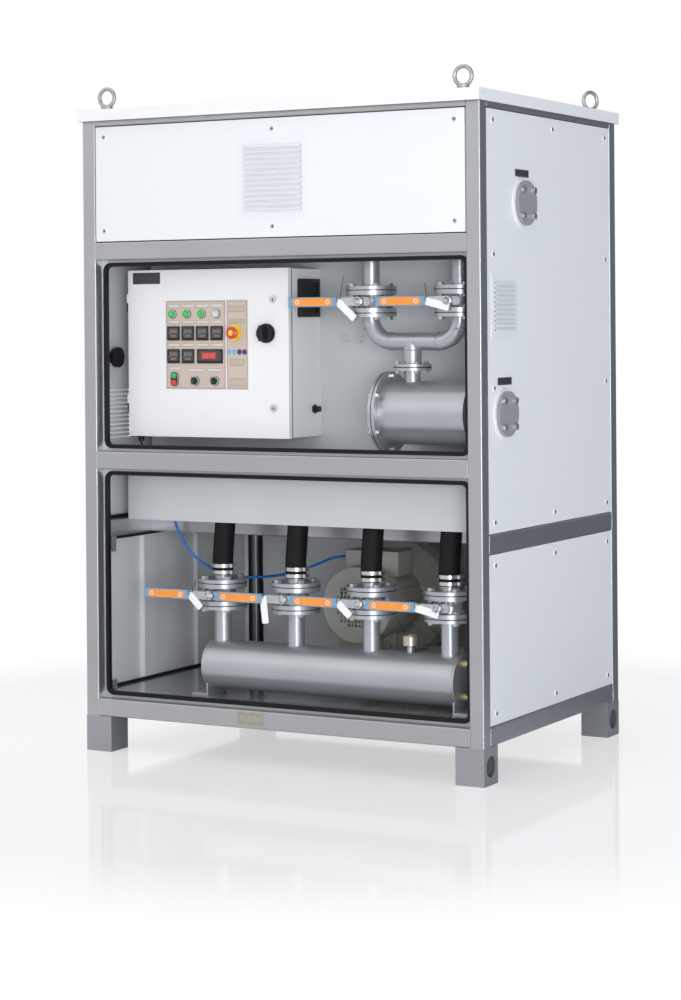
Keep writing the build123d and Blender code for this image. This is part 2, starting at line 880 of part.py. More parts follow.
def lower_knuckle(low, high):
    """Fixed hinge knuckle, round where the door swings past it, with its leaf bent on to the box wall."""
    x, y = hinge_axis
    r = hinge_radius - hinge_gap
    leaf_front = box_front + leaf_set
    leaf_back = box_front + leaf_reach
    nose = ThreePointArc((x + r, y), (x - r * sqrt(0.5), y - r * sqrt(0.5)), (x, y + r))
    leaf = Polyline((x, y + r), (x, leaf_back), (box_left, leaf_back), (box_left, leaf_front),
                    (x + r, leaf_front), (x + r, y))
    return extrude(Plane.XY.offset(low) * make_face(nose.edges() + leaf.edges()), amount=high - low)


def box_door():
    """Folded door with a hollow back, and the upper knuckle of each hinge on its left edge."""
    x0, x1 = hinge_x, box_right + door_over
    z0, z1 = box_bottom - door_over, box_top + door_over
    back = door_front + door_thickness
    door = block(x0, x1, door_front, back, z0, z1)
    door -= block(x0 + door_sheet, x1 - door_sheet, door_front + door_sheet, back + 1,
                  z0 + door_sheet, z1 - door_sheet)
    for x, z, diameter in door_holes():
        door -= rod((x, door_front - 1, z), (x, door_front + door_sheet + 1, z), diameter)
    for middle in hinge_middles():
        door += upper_knuckle(middle + hinge_gap, middle + hinge_length / 2)
    return [door]


def door_overlay():
    """Two flat printed plates behind the controls."""
    plates = []
    for x0, x1 in (overlay_left, overlay_right):
        plate = block(x0, x1, door_front - overlay_thickness, door_front, *overlay_z)
        for x, z, diameter in door_holes():
            if x0 < x < x1:
                plate -= rod((x, door_front - 5, z), (x, door_front + 5, z), diameter)
        plates.append(plate)
    return plates


def pilot_lamps():
    """Round signal lamps with a bezel and a domed lens."""
    front = door_front - overlay_thickness
    lamps = []
    for x in lamp_places:
        profile = [(0, 0), (device_bezel / 2, 0), (device_bezel / 2, 4), (device_bezel / 2 - 2, 6),
                   (device_bezel / 2 - 4, 7), (device_bezel / 2 - 5, 11), (device_bezel / 4, 13.5), (0, 14)]
        lamps.append(turned(profile, (x, front, lamp_z), (0, -1, 0), (1, 0, 0)))
    return lamps


def panel_meters():
    """Square and wide digital meters with a recessed window."""
    front = door_front - overlay_thickness
    places = [(meter_first + meter_pitch * index, meter_upper_z, meter) for index in range(4)]
    places += [(meter_first + meter_pitch * index, meter_lower_z, meter) for index in range(2)]
    places.append((meter_wide_x, meter_lower_z, meter_wide))
    pieces = []
    for x, z, size in places:
        body = block(x - size / 2, x + size / 2, front - meter_lift, front, z - meter / 2, z + meter / 2)
        body -= block(x - size / 2 + 4, x + size / 2 - 4, front - meter_lift - 1, front - meter_lift + 1.5,
                      z - meter / 2 + 8, z + meter / 2 - 4)
        pieces.append(body)
    return pieces


def switch_bezels():
    """Bezels round the selectors, the double push button, the stop ring and the main switch."""
    front = door_front - overlay_thickness
    hole = stem_hole()
    pieces = []
    for x in selector_places:
        pieces.append(ring((x, front, selector_z), (x, front - 4, selector_z), device_bezel, hole))
    double = Pos(push_x, front - 2.5, push_z) * Rot(90, 0, 0) * extrude(
        SlotOverall(push_pitch + device_bezel - 2, device_bezel, rotation=90), amount=2.5, both=True)
    for dz in (push_pitch / 2, -push_pitch / 2):
        double -= rod((push_x, front + 1, push_z + dz), (push_x, front - 6, push_z + dz),
                      push_button + 2 * slide_clear)
    pieces.append(double)
    pieces.append(ring((estop_x, front, estop_z), (estop_x, front - 2, estop_z), estop_ring, hole))
    pieces.append(ring((switch_x, door_front, switch_z), (switch_x, door_front - 8, switch_z),
                       switch_base, hole))
    return pieces


def hinge_knuckles():
    """Lower knuckle, pin and leaf of each door hinge, fixed to the left wall of the box."""
    pieces = []
    for middle in hinge_middles():
        pin = rod((*hinge_axis, middle), (*hinge_axis, middle + hinge_length / 2), hinge_pin)
        pieces.append(lower_knuckle(middle - hinge_length / 2, middle) + pin)
    return pieces


# Controls that move

def stem_from(x, z, front, diameter=None):
    """Actuator stem through the door to just behind it."""
    back = door_front + door_thickness - 4
    return rod((x, front, z), (x, back, z), diameter or actuator)


def emergency_stop_button():
    """Mushroom head on its stem, standing clear of the ring by its travel."""
    front = door_front - overlay_thickness - 2
    y = front - estop_travel - 3
    profile = [(0, 0), (estop_head / 4, 0), (estop_head / 2, 8), (estop_head / 2, 13),
               (estop_head / 2 - 5, 17), (estop_head / 4, 19), (0, 19.5)]
    head = turned(profile, (estop_x, y, estop_z), (0, -1, 0), (1, 0, 0))
    return [head + stem_from(estop_x, estop_z, y - 1)]


def push_head(z):
    """Flat button in its bezel hole, with a stem."""
    front = door_front - overlay_thickness
    y = front - push_travel - 0.5
    return [rod((push_x, y, z), (push_x, y - 4.5, z), push_button) + stem_from(push_x, z, y - 1)]


def selector(x):
    """Turning knob with a raised finger bar."""
    y = door_front - overlay_thickness - 4 - slide_clear
    knob = rod((x, y, selector_z), (x, y - 6, selector_z), device_bezel - 4)
    bar = block(x - 4, x + 4, y - 16, y - 5, selector_z - 12, selector_z + 12)
    return [knob + bar + stem_from(x, selector_z, y - 1)]


def main_switch_handle():
    """Rotary handle on the main switch, a stepped disc with a grip bar."""
    y = door_front - 8 - slide_clear
    disc = rod((switch_x, y, switch_z), (switch_x, y - 14, switch_z), switch_base - 9)
    bar = block(switch_x - 8, switch_x + 8, y - 34, y - 13, switch_z - 26, switch_z + 26)
    return [disc + bar + stem_from(switch_x, switch_z, y - 1)]


def door_lock(z):
    """Quarter-turn lock: a slotted face, its barrel and the cam behind the door."""
    face = rod((lock_x, door_front - slide_clear, z), (lock_x, door_front - 4, z), lock_face)
    face -= block(lock_x - 8, lock_x + 8, door_front - 5, door_front - 2.5, z - 2, z + 2)
    barrel_back = box_front + 7
    barrel = rod((lock_x, door_front - 1, z), (lock_x, barrel_back, z), lock_stem)
    cam = block(lock_x - 7, lock_x + 7, barrel_back - 3, barrel_back, z - lock_cam, z)
    return [face + barrel + cam]


# Pipework

def flange_plate(x, z0, z1, diameter=flange):
    """Flat round flange on an upright pipe."""
    return rod((x, pipe_y, z0), (x, pipe_y, z1), diameter)


def upper_pipes():
    """Pipes from the upper valves to the vessels, with the branch to the upper port."""
    bottom = upper_valve_z + valve_half + gasket
    run_z = port_upper[1]
    bore = pipe - 2 * pipe_wall
    pipes = []
    for x, vessel_x in zip(upper_valve_x, vessel_places()):
        points = [(x, pipe_y, bottom), (x, pipe_y, run_z), (x, vessel_y, run_z),
                  (vessel_x, vessel_y, run_z), (vessel_x, vessel_y, vessel_top + 15)]
        line = bent_bar(points, elbow, pipe)
        line += flange_plate(x, bottom, bottom + flange_thickness)
        if x == upper_valve_x[1]:
            port_x = half_w - panel_recess
            line += rod((x, port_upper[0], run_z), (port_x, port_upper[0], run_z), pipe)
        pipes.append(line)
    return pipes


def heater_inlet_pipe():
    """Welded loop below the upper valves, with its branch down to the heater tank."""
    top = upper_valve_z - valve_half - gasket
    left, right = upper_valve_x
    points = [(left, pipe_y, top), (left, pipe_y, cross_pipe_z), (right, pipe_y, cross_pipe_z),
              (right, pipe_y, top)]
    loop = bent_bar(points, elbow, pipe)
    for x in upper_valve_x:
        loop += flange_plate(x, top - flange_thickness, top)
    low = branch_flange_top - branch_flange_thickness
    loop += rod((branch_x, pipe_y, cross_pipe_z), (branch_x, pipe_y, low), branch_pipe)
    loop += flange_plate(branch_x, low, branch_flange_top, branch_flange)
    return [loop]


def heater_tank():
    """Shell with its inlet nozzle, bolting flange, dished end and outlet to the lower port."""
    y, z = pipe_y, tank_z
    flange_left = tank_left - tank_flange_thickness
    shell = rod((tank_left, y, z), (tank_right, y, z), tank)
    shell += rod((flange_left, y, z), (tank_left, y, z), tank_flange)
    shell -= rod((flange_left - 1, y, z), (tank_right - tank_wall, y, z), tank - 2 * tank_wall)
    shell += rod((tank_right, y, z), (tank_right + 10, y, z), tank + 8)
    shell += rod((tank_right, y, z), (half_w - panel_recess, y, z), pipe)
    nozzle_top = branch_flange_top - 2 * branch_flange_thickness - gasket
    reach = sqrt((tank / 2 - tank_wall) ** 2 - (branch_pipe / 2) ** 2)
    shell += rod((branch_x, y, z + reach), (branch_x, y, nozzle_top), branch_pipe - 6)
    shell += flange_plate(branch_x, nozzle_top, nozzle_top + branch_flange_thickness, branch_flange)
    for x in (tank_left - tank_flange_thickness, tank_right):
        low_reach = (tank_flange if x < tank_left else tank) / 2 - 6
        shell += block(x, x + tank_flange_thickness, y - 40, y + 40, shelf_top, z - low_reach)
    return [shell]


def heater_bundle():
    """Cover flange with the bent heating rods that it carries inside the tank."""
    y, z = pipe_y, tank_z
    face = tank_left - tank_flange_thickness - gasket
    cover = rod((face - tank_flange_thickness, y, z), (face, y, z), tank_flange)
    for index in range(3):
        turn = radians(120 * index + 30)
        offset = element_circle / 2
        near = (y + offset * cos(turn), z + offset * sin(turn))
        far = (y + offset * cos(turn + 0.9), z + offset * sin(turn + 0.9))
        end = face + element_length
        points = [(face - 1, *near), (end, *near), (end, *far), (face - 1, *far)]
        span = hypot(near[0] - far[0], near[1] - far[1])
        cover += bent_bar(points, span / 2 - 1, element)
    return [cover]


def port_places():
    """Centres of the two side ports."""
    return (port_upper, port_lower)


def port_covers():
    """Ring on the panel and blank cover on each side port."""
    pieces = []
    x0 = half_w - panel_recess
    for y, z in port_places():
        x1 = x0 + port_ring_thickness
        pieces.append(ring((x0, y, z), (x1, y, z), port_ring, port_ring - 2 * 14))
        pieces.append(rod((x0, y, z), (x1, y, z), port_ring - 2 * 14 - 1)
                      + rod((x1, y, z), (x1 + port_cover_thickness, y, z), port_cover))
    return pieces


def valve_places():
    """Centre of each valve, upper ones first."""
    places = [(x, upper_valve_z) for x in upper_valve_x]
    return places + [(x, lower_valve_z) for x in lower_valve_x]


def valve_bodies():
    """Short flanged ball valves with a stem boss and a stop lug towards the front."""
    bodies = []
    r = flange / 2
    neck = valve_neck / 2
    inner = valve_half - valve_flange
    profile = [(0, -valve_half), (r, -valve_half), (r, -inner), (neck, -inner), (neck - 4, 0),
               (neck, inner), (r, inner), (r, valve_half), (0, valve_half)]
    for x, z in valve_places():
        body = turned(profile, (x, pipe_y, z), (0, 0, 1), (1, 0, 0))
        lug_back = lug_front + lug_thickness
        body += rod((x, pipe_y, z), (x, lug_front, z), boss - 7)
        lug = block(x - 14, x + lug_reach - 10, lug_front, lug_back, z - 14, z + 14)
        lug += rod((x + lug_reach - 14, lug_front, z), (x + lug_reach - 14, lug_back, z), 28)
        body += lug
        body -= rod((x, lug_front - 1, z), (x, lug_front + stem_depth + 1, z), stem + 2 * slide_clear)
        bodies.append(body)
    return bodies


def pipe_gaskets():
    """Flat gaskets between the valve flanges, the branch flanges and the tank cover."""
    discs = []
    size = flange - 5
    for x, z in valve_places():
        for side in (-1, 1):
            low = z + side * (valve_half + gasket / 2) - gasket / 2
            discs.append(rod((x, pipe_y, low), (x, pipe_y, low + gasket), size))
    low = branch_flange_top - branch_flange_thickness - gasket
    discs.append(rod((branch_x, pipe_y, low), (branch_x, pipe_y, low + gasket), branch_flange - 5))
    x = tank_left - tank_flange_thickness - gasket
    discs.append(ring((x, pipe_y, tank_z), (x + gasket, pipe_y, tank_z), tank_flange - 5, tank - 8))
    return discs


def flange_bolts():
    """Bolt heads and nuts on every bolted flange pair."""
    pieces = []

    def upright(x, low, high, circle, flats=bolt_flats):
        for index in range(4):
            turn = radians(45 + 90 * index)
            cx, cy = x + circle / 2 * cos(turn), pipe_y + circle / 2 * sin(turn)
            pieces.append(hexagon((cx, cy, high), (cx, cy, high + bolt_head), flats))
            pieces.append(hexagon((cx, cy, low), (cx, cy, low - bolt_head), flats))

    stack = valve_flange + gasket + flange_thickness
    for x, z in valve_places():
        inner = valve_half - valve_flange
        upright(x, z + inner, z + inner + stack, flange_circle)
        upright(x, z - inner - stack, z - inner, flange_circle)
    pair = 2 * branch_flange_thickness + gasket
    upright(branch_x, branch_flange_top - pair, branch_flange_top, branch_flange - 28, bolt_flats - 6)
    left = tank_left - 2 * tank_flange_thickness - gasket
    for index in range(tank_bolts):
        turn = pi / 2 + 2 * pi * index / tank_bolts
        y, z = pipe_y + tank_circle / 2 * cos(turn), tank_z + tank_circle / 2 * sin(turn)
        pieces.append(hexagon((left, y, z), (left - bolt_head, y, z), bolt_flats - 6))
        pieces.append(hexagon((tank_left, y, z), (tank_left + bolt_head, y, z), bolt_flats - 6))
    x = half_w - panel_recess + port_ring_thickness + port_cover_thickness
    for y, z in port_places():
        for index in range(4):
            turn = radians(45 + 90 * index)
            cy, cz = y + port_circle / 2 * cos(turn), z + port_circle / 2 * sin(turn)
            pieces.append(hexagon((x, cy, cz), (x + bolt_head, cy, cz), bolt_flats - 3))
    return pieces


def valve_lever(x, z, tag_angle):
    """Lever plate with its stem and cap nut, the sleeve grip on it, and a hanging tag."""
    back = lever_front + lever_thickness
    half = lever_height / 2
    plate = block(x - lever_reach + 6, x, lever_front, back, z - half + 2, z + half - 2)
    plate += rod((x, lever_front, z), (x, back, z), lever_height)
    grip = Pos(x - (lever_reach + grip_start) / 2, (lever_front + back) / 2, z) * Box(
        lever_reach - grip_start, grip_thickness, grip_height)
    long_edges = grip.edges().filter_by(Axis.X)
    grip = fillet(long_edges, grip_thickness * 0.3)
    grip -= plate
    plate += rod((x, back, z), (x, lug_front - slide_clear, z), stem + 8)
    plate += rod((x, back, z), (x, lug_front + stem_depth, z), stem)
    plate += hexagon((x, lever_front, z), (x, lever_front - nut_height / 2, z), nut_flats)
    cap = Cone(nut_flats / 2 - 2, nut_flats / 4, nut_height / 2)
    plate += Pos(x, lever_front - nut_height * 0.75, z) * Rot(90, 0, 0) * cap
    tag = Box(tag_length, 1.0, tag_width, align=(Align.MIN, Align.MAX, Align.CENTER))
    tag = Pos(x - grip_start + 6, lever_front, z - 2) * Rot(0, -tag_angle, 0) * Pos(-8, 0, 0) * tag
    return [plate, grip, tag]


def manifold_body():
    """Header with its end plates, four risers, their flanges, the gauge socket and two brackets."""
    y, z = pipe_y, manifold_z
    body = rod((manifold_left, y, z), (manifold_right, y, z), manifold)
    body -= rod((manifold_left + manifold_end, y, z), (manifold_right - manifold_end, y, z),
                manifold - 2 * manifold_wall)
    top = lower_valve_z - valve_half - gasket
    reach = sqrt((manifold / 2 - manifold_wall / 2) ** 2 - (pipe / 2) ** 2)
    for x in lower_valve_x:
        body += rod((x, y, z + reach), (x, y, top), pipe)
        body += flange_plate(x, top - flange_thickness, top)
    body += rod((gauge_x, y, z + manifold / 2 - 3), (gauge_x, y, z + manifold / 2 + 16), 22)
    for x, outward in ((manifold_left + bracket_thickness, -1), (manifold_right - 2 * bracket_thickness, 1)):
        leg = block(x, x + bracket_thickness, y - bracket_width, y + bracket_width, floor_top, z - 60)
        foot_end = x + bracket_thickness / 2 + outward * bracket_width
        near, far = sorted((x + bracket_thickness / 2, foot_end))
        leg += block(near, far, y - bracket_width, y + bracket_width,
                     floor_top, floor_top + bracket_thickness)
        body += leg
    end = manifold_right
    for dz in (57.0, -49.0):
        body += rod((end - 1, y - 12, z + dz), (end + 26, y - 12, z + dz), 20)
    spigots = []
    for x in lower_valve_x:
        low = lower_valve_z + valve_half + gasket
        spigots.append(flange_plate(x, low, low + flange_thickness)
                       + rod((x, y, low), (x, y, low + flange_thickness + spigot_length), hose_bore - 1))
    return [body] + spigots


def hose_points(x):
    """Route of one hose: up from its spigot, leaning back, then level to the collector."""
    lean_y = pipe_y + hose_lean * (hose_top_z - hose_lean_z)
    return [(x, pipe_y, hose_start), (x, pipe_y, hose_lean_z), (x, lean_y, hose_top_z),
            (x, hose_end_y, hose_top_z)]


def hoses():
    """Four rubber hoses from the valves to the collectors under the vessels."""
    pieces = []
    for x in lower_valve_x:
        points = hose_points(x)
        pieces.append(bent_bar(points, hose_bend, hose, hose_bore))
    return pieces


def hose_clamps():
    """Two band clamps on each hose, each with its screw housing at the right."""
    pieces = []
    for x in lower_valve_x:
        for z in clamp_places:
            band = ring((x, pipe_y, z - clamp_width / 2), (x, pipe_y, z + clamp_width / 2),
                        hose + 2 * clamp_thickness, hose)
            reach = hose / 2
            band += block(x + reach, x + reach + 9, pipe_y - 14, pipe_y + 12, z - 6, z + 6)
            pieces.append(band)
    return pieces


def gauge():
    """Round gauge facing up, on its threaded stem."""
    low, high = gauge_bottom, gauge_bottom + gauge_height
    y = pipe_y
    case = rod((gauge_x, y, low), (gauge_x, y, high), gauge_case)
    case -= rod((gauge_x, y, high - gauge_recess), (gauge_x, y, high + 1), gauge_case - 6)
    case += rod((gauge_x, y, manifold_z + manifold / 2 + 16), (gauge_x, y, low), 12)
    case += rod((gauge_x, y, high - gauge_recess - 1), (gauge_x, y, high - gauge_recess + 2), 3)
    return [case]


def gauge_needle():
    """Pointer on its pin over the dial."""
    z = gauge_bottom + gauge_height - gauge_recess + 2 + slide_clear
    hub = rod((gauge_x, pipe_y, z), (gauge_x, pipe_y, z + 1.5), 6)
    pointer = block(gauge_x - 17, gauge_x + 6, pipe_y - 0.9, pipe_y + 0.9, z + 0.4, z + 1.2)
    return [hub + pointer]


# Vessels and blower

def vessel_places():
    """Centres of the vessels, each midway between the two valves that feed it."""
    x = lower_valve_x
    return [(x[0] + x[1]) / 2, (x[2] + x[3]) / 2]


def adsorber_vessels():
    """Dished pressure vessels on skirts, each with the collector pipe welded below it."""
    pieces = []
    r = vessel / 2
    for index, x in enumerate(vessel_places()):
        low, high = vessel_bottom, vessel_top
        d = vessel_dish
        side = Polyline((r, low + d), (r, high - d))
        head = EllipticalCenterArc((0, high - d), r, d, start_angle=0, arc_size=90)
        base = EllipticalCenterArc((0, low + d), r, d, start_angle=270, arc_size=90)
        close = Line((0, high), (0, low))
        face = make_face(base.edges() + side.edges() + head.edges() + close.edges())
        body = Pos(x, vessel_y, 0) * revolve(Plane.XZ * face, axis=Axis.Z)
        body += rod((x, vessel_y, high - 5), (x, vessel_y, high + 15), pipe + 6)
        body += ring((x, vessel_y, shelf_top), (x, vessel_y, low + d), vessel * 0.8, vessel * 0.8 - 10)
        body += rod((x, vessel_y, hose_top_z), (x, vessel_y, low + 20), pipe)
        feeds = lower_valve_x[2 * index:2 * index + 2]
        body += rod((feeds[0] - collector / 2, vessel_y, hose_top_z),
                    (feeds[1] + collector / 2, vessel_y, hose_top_z), collector)
        for feed in feeds:
            body += rod((feed, hose_end_y - 40, hose_top_z), (feed, vessel_y, hose_top_z), hose_bore - 1)
        pieces.append(body)
    return pieces


def gland_motor():
    """Mouth of the cable gland on the left side of the terminal box."""
    return (blower_x - terminal_width / 2 - terminal_gland, terminal_y + terminal_depth * 0.46, 622.0)


def blower_motor():
    """Finned motor with its terminal box, and the fan cowl with a pierced front."""
    x, z = blower_x, blower_z
    bore = shaft + 2 * running_clear
    start = motor_front + motor_setback
    shield = start - shield_depth
    body = rod((x, shield, z), (x, housing_front, z), motor)
    inside = rod((x, shield, z), (x, start, z), cowl - 2 * cowl_wall)
    for index in range(4):
        turn = radians(45 + 90 * index)
        lug = Box(cowl / 2, shield_depth, cowl_lug)
        place = Pos(x + cowl / 4 * cos(turn), (shield + start) / 2, z + cowl / 4 * sin(turn))
        body += (place * Rot(0, -degrees(turn), 0) * lug) & inside
    for index in range(fin_count):
        turn = 2 * pi * index / fin_count
        reach = motor / 2 + fin_depth / 2 - 1
        fin = Box(fin_depth + 2, housing_front - start - 16, fin_thickness)
        place = Pos(x + reach * cos(turn), (start + housing_front) / 2, z + reach * sin(turn))
        body += place * Rot(0, -degrees(turn), 0) * fin
    body += block(x - terminal_width / 2, x + terminal_width / 2, terminal_y, terminal_y + terminal_depth,
                  z + motor / 2 - 20, z + motor / 2 + terminal_height)
    entry = gland_motor()
    body += hexagon((entry[0] + terminal_gland, *entry[1:]), (entry[0] + terminal_gland / 2, *entry[1:]), 22)
    body += rod((entry[0] + terminal_gland, *entry[1:]), entry, 16)
    body -= rod((x, shield - 1, z), (x, housing_front + 1, z), bore)
    cup = rod((x, cowl_front, z), (x, start, z), cowl)
    cup = fillet(cup.edges().filter_by(GeomType.CIRCLE).sort_by(Axis.Y)[0], cowl_round)
    cup -= rod((x, cowl_front + cowl_wall, z), (x, start + 1, z), cowl - 2 * cowl_wall)
    count = int(grille_radius / grille_pitch)
    holes = []
    for i in range(-count, count + 1):
        for j in range(-count, count + 1):
            if hypot(i, j) * grille_pitch < grille_radius - grille_hole / 2:
                holes.append(Pos(x + i * grille_pitch, cowl_front, z + j * grille_pitch) * Box(
                    grille_hole, 4 * cowl_wall, grille_hole))
    cup -= Compound(children=holes)
    return [body, cup]


def blower_housing():
    """Side-channel housing, a hollow ring with radial ribs over its curved shoulder, on a foot."""
    x, z, y0 = blower_x, blower_z, housing_front
    r = housing_radius
    y1 = y0 + housing_depth
    outline = [(0, 0), (housing_hub, 0), (housing_hub + 14, 16), (r - 46, 16), (r - 14, 34), (r, 66),
               (r, housing_depth - 30), (r - 30, housing_depth), (0, housing_depth)]
    body = turned(outline, (x, y0, z), (0, 1, 0), (1, 0, 0))
    for index in range(rib_count):
        turn = 2 * pi * index / rib_count
        rib = Plane.XZ * make_face(Polyline((housing_hub + 6, 10), (r - 50, 16 - rib_height),
                                            (r - 12, 22), (r + rib_height - 4, 62), (r - 4, 76),
                                            (r - 20, 60), (r - 50, 30), (housing_hub + 6, 30), close=True))
        fin = extrude(rib, amount=rib_thickness / 2, both=True)
        body += Plane(origin=(x, y0, z), x_dir=(cos(turn), 0, sin(turn)), z_dir=(0, 1, 0)) * fin
    foot = make_face(Polyline((-blower_foot_half, floor_top), (blower_foot_half, floor_top),
                              (blower_foot_half - 60, blower_foot_top), (-blower_foot_half + 60, blower_foot_top),
                              close=True))
    plane = Plane(origin=(x, y0 + 100, 0), x_dir=(1, 0, 0), z_dir=(0, -1, 0))
    body += extrude(plane * foot, amount=blower_foot_depth)
    cavity_front = y0 + (housing_depth - impeller_depth) / 2
    body -= rod((x, cavity_front - impeller_gap, z),
                (x, cavity_front + impeller_depth + impeller_gap, z), impeller + 2 * impeller_gap)
    body -= rod((x, y0 - 1, z), (x, cavity_front, z), shaft + 2 * running_clear)
    return [body]


def blower_rotor():
    """Shaft with the cooling fan behind the cowl and the impeller in the housing."""
    x, z = blower_x, blower_z
    cavity_front = housing_front + (housing_depth - impeller_depth) / 2
    fan_y = cowl_front + cowl_wall + 12
    part = rod((x, fan_y, z), (x, cavity_front + impeller_depth, z), shaft)
    part += rod((x, cavity_front, z), (x, cavity_front + impeller_depth, z), impeller)
    part += rod((x, fan_y + 20, z), (x, fan_y + 26, z), 150)
    for index in range(7):
        turn = 2 * pi * index / 7
        blade = Box(78, 40, 4)
        place = Pos(x + 62 * cos(turn), fan_y + 26, z + 62 * sin(turn))
        part += place * Rot(0, -degrees(turn), 0) * blade
    return [part]


# Loose lead and motor cable

lead_points = [
    (-628.0, -386.0, box_bottom - 22), (-628.0, -386.0, 1037.0), (-620.0, -384.0, 1024.5),
    (-606.0, -370.0, 1019.0), (-594.0, -350.0, 1019.5), (-584.0, -326.0, 1022.0),
    (-578.0 - lead / 2, -302.0, 1025.0),
]
cable_points = [
    (-596.0, -252.0, shelf_top - sheet), (-596.0, -252.0, 880.0), (-594.0, -247.0, 790.0),
    (-560.0, -238.0, 694.0), (-496.0, -214.0, 612.0), (-400.0, -140.0, 562.0), (-292.0, -20.0, 562.0),
    (-216.0, 88.0, 590.0), (gland_motor()[0] - 50.0, *gland_motor()[1:]), gland_motor(),
]


def cord_tube(points, diameter):
    """Tube along hand-set points, each corner an arc as large as its two runs allow."""
    radii = []
    for before, here, after in zip(points, points[1:], points[2:]):
        a = Vector(*here) - Vector(*before)
        b = Vector(*after) - Vector(*here)
        turn = radians(a.get_angle(b))
        radii.append(0.45 * min(a.length, b.length) / tan(turn / 2))
    path = FilletPolyline(*points, radius=radii)
    section = Plane(origin=path @ 0, z_dir=path % 0) * Circle(diameter / 2)
    tube = sweep(section, path=path)
    share = tube.volume / (path.length * pi * diameter ** 2 / 4)
    print("cord length", round(path.length, 1), "volume share", round(share, 4),
          "radii", [round(value, 1) for value in radii])
    return [tube]


def control_lead_coil():
    """Outer shape of the loose coil on the shelf."""
    x, y = coil_centre
    return [ring((x, y, shelf_top), (x, y, shelf_top + coil_height), coil_outer, coil_inner)]


def main():
    """Write every node."""
    os.makedirs("parts", exist_ok=True)
    write("frame_posts", frame_posts())
    write("frame_rails", frame_rails())
    write("feet", feet())
    write("roof", roof())
    write("lifting_eyes", lifting_eyes())
    write("front_upper_panel", side_panels("front"))
    write("right_panels", side_panels("right"))
    write("left_panels", side_panels("left"))
    write("rear_panels", side_panels("rear"))
    write("louvres", [louvre("front", front_louvre), louvre("right", right_louvre),
                      louvre("left", left_louvre)])
    write("panel_screws", panel_screws())
    write("panel_tabs", panel_tabs())
    write("rubber_seals", panel_seals() + door_seals())
    write("opening_lips", opening_lips())
    write("floor_deck", floor_deck())
    write("shelf_decks", shelf_decks())
    write("inner_walls", partition_wall() + deck_apron())
    write("control_box", control_box())
    write("box_backplate", box_backplate())
    write("box_fittings", box_fan_filter() + hinge_knuckles())
    write("cable_glands", cable_glands())
    write("box_door", box_door())
    write("door_overlay", door_overlay())
    write("pilot_lamps", pilot_lamps())
    write("panel_meters", panel_meters())
    write("switch_bezels", switch_bezels())
    write("emergency_stop_button", emergency_stop_button())
    write("start_button", push_head(push_z + push_pitch / 2))
    write("stop_button", push_head(push_z - push_pitch / 2))
    write("selector_left", selector(selector_places[0]))
    write("selector_right", selector(selector_places[1]))
    write("main_switch_handle", main_switch_handle())
    write("door_lock_lower", door_lock(lock_places[0]))
    write("door_lock_upper", door_lock(lock_places[1]))
    write("upper_pipes", upper_pipes())
    write("heater_inlet_pipe", heater_inlet_pipe())
    write("heater_tank", heater_tank())
    write("heater_bundle", heater_bundle())
    write("port_covers", port_covers())
    write("valve_bodies", valve_bodies())
    write("pipe_gaskets", pipe_gaskets())
    write("flange_bolts", flange_bolts())
    angles = tag_angles["upper"] + tag_angles["lower"]
    for index, (x, z) in enumerate(valve_places()):
        write("valve_lever_" + str(index + 1), valve_lever(x, z, angles[index]))
    write("manifold", manifold_body())
    write("hoses", hoses())
    write("hose_clamps", hose_clamps())
    write("gauge_case", gauge())
    write("gauge_needle", gauge_needle())
    write("adsorber_vessels", adsorber_vessels())
    write("blower_motor", blower_motor())
    write("blower_housing", blower_housing())
    write("blower_rotor", blower_rotor())
    write("control_lead", cord_tube(lead_points, lead))
    write("control_lead_coil", control_lead_coil())
    write("motor_cable", cord_tube(cable_points, cable))


main()
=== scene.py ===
import math
import bmesh
import bpy
import numpy as np
from mathutils import Matrix, Vector


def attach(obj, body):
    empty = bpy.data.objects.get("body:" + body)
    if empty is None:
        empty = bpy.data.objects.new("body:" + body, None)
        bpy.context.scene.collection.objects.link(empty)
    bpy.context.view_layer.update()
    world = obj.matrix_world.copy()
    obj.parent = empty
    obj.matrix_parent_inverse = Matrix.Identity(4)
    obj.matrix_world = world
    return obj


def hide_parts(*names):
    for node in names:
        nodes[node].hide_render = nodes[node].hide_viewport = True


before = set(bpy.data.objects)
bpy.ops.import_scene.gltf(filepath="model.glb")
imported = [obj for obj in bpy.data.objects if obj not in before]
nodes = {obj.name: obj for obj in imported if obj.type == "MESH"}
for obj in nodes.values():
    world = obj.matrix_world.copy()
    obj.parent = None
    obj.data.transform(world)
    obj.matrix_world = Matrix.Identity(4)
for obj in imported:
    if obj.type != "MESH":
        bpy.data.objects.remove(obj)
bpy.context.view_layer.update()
print("stage: frame loaded,", len(nodes), "nodes")

mm = 0.001  # settings are in millimetres, Blender works in metres


# New object of some data, in the scene's collection
def placed(name, data):
    obj = bpy.data.objects.new(name, data)
    bpy.context.scene.collection.objects.link(obj)
    return obj


# Camera at the photograph's place, with its lens and shift
camera = {"place": (3.95, -7.2587, 1.4559), "yaw": 28.874, "pitch": -0.229, "roll": -0.432,
          "lens": 85.86, "shiftY": -0.16885, "sensor": 36.0, "farthest": 100.0}


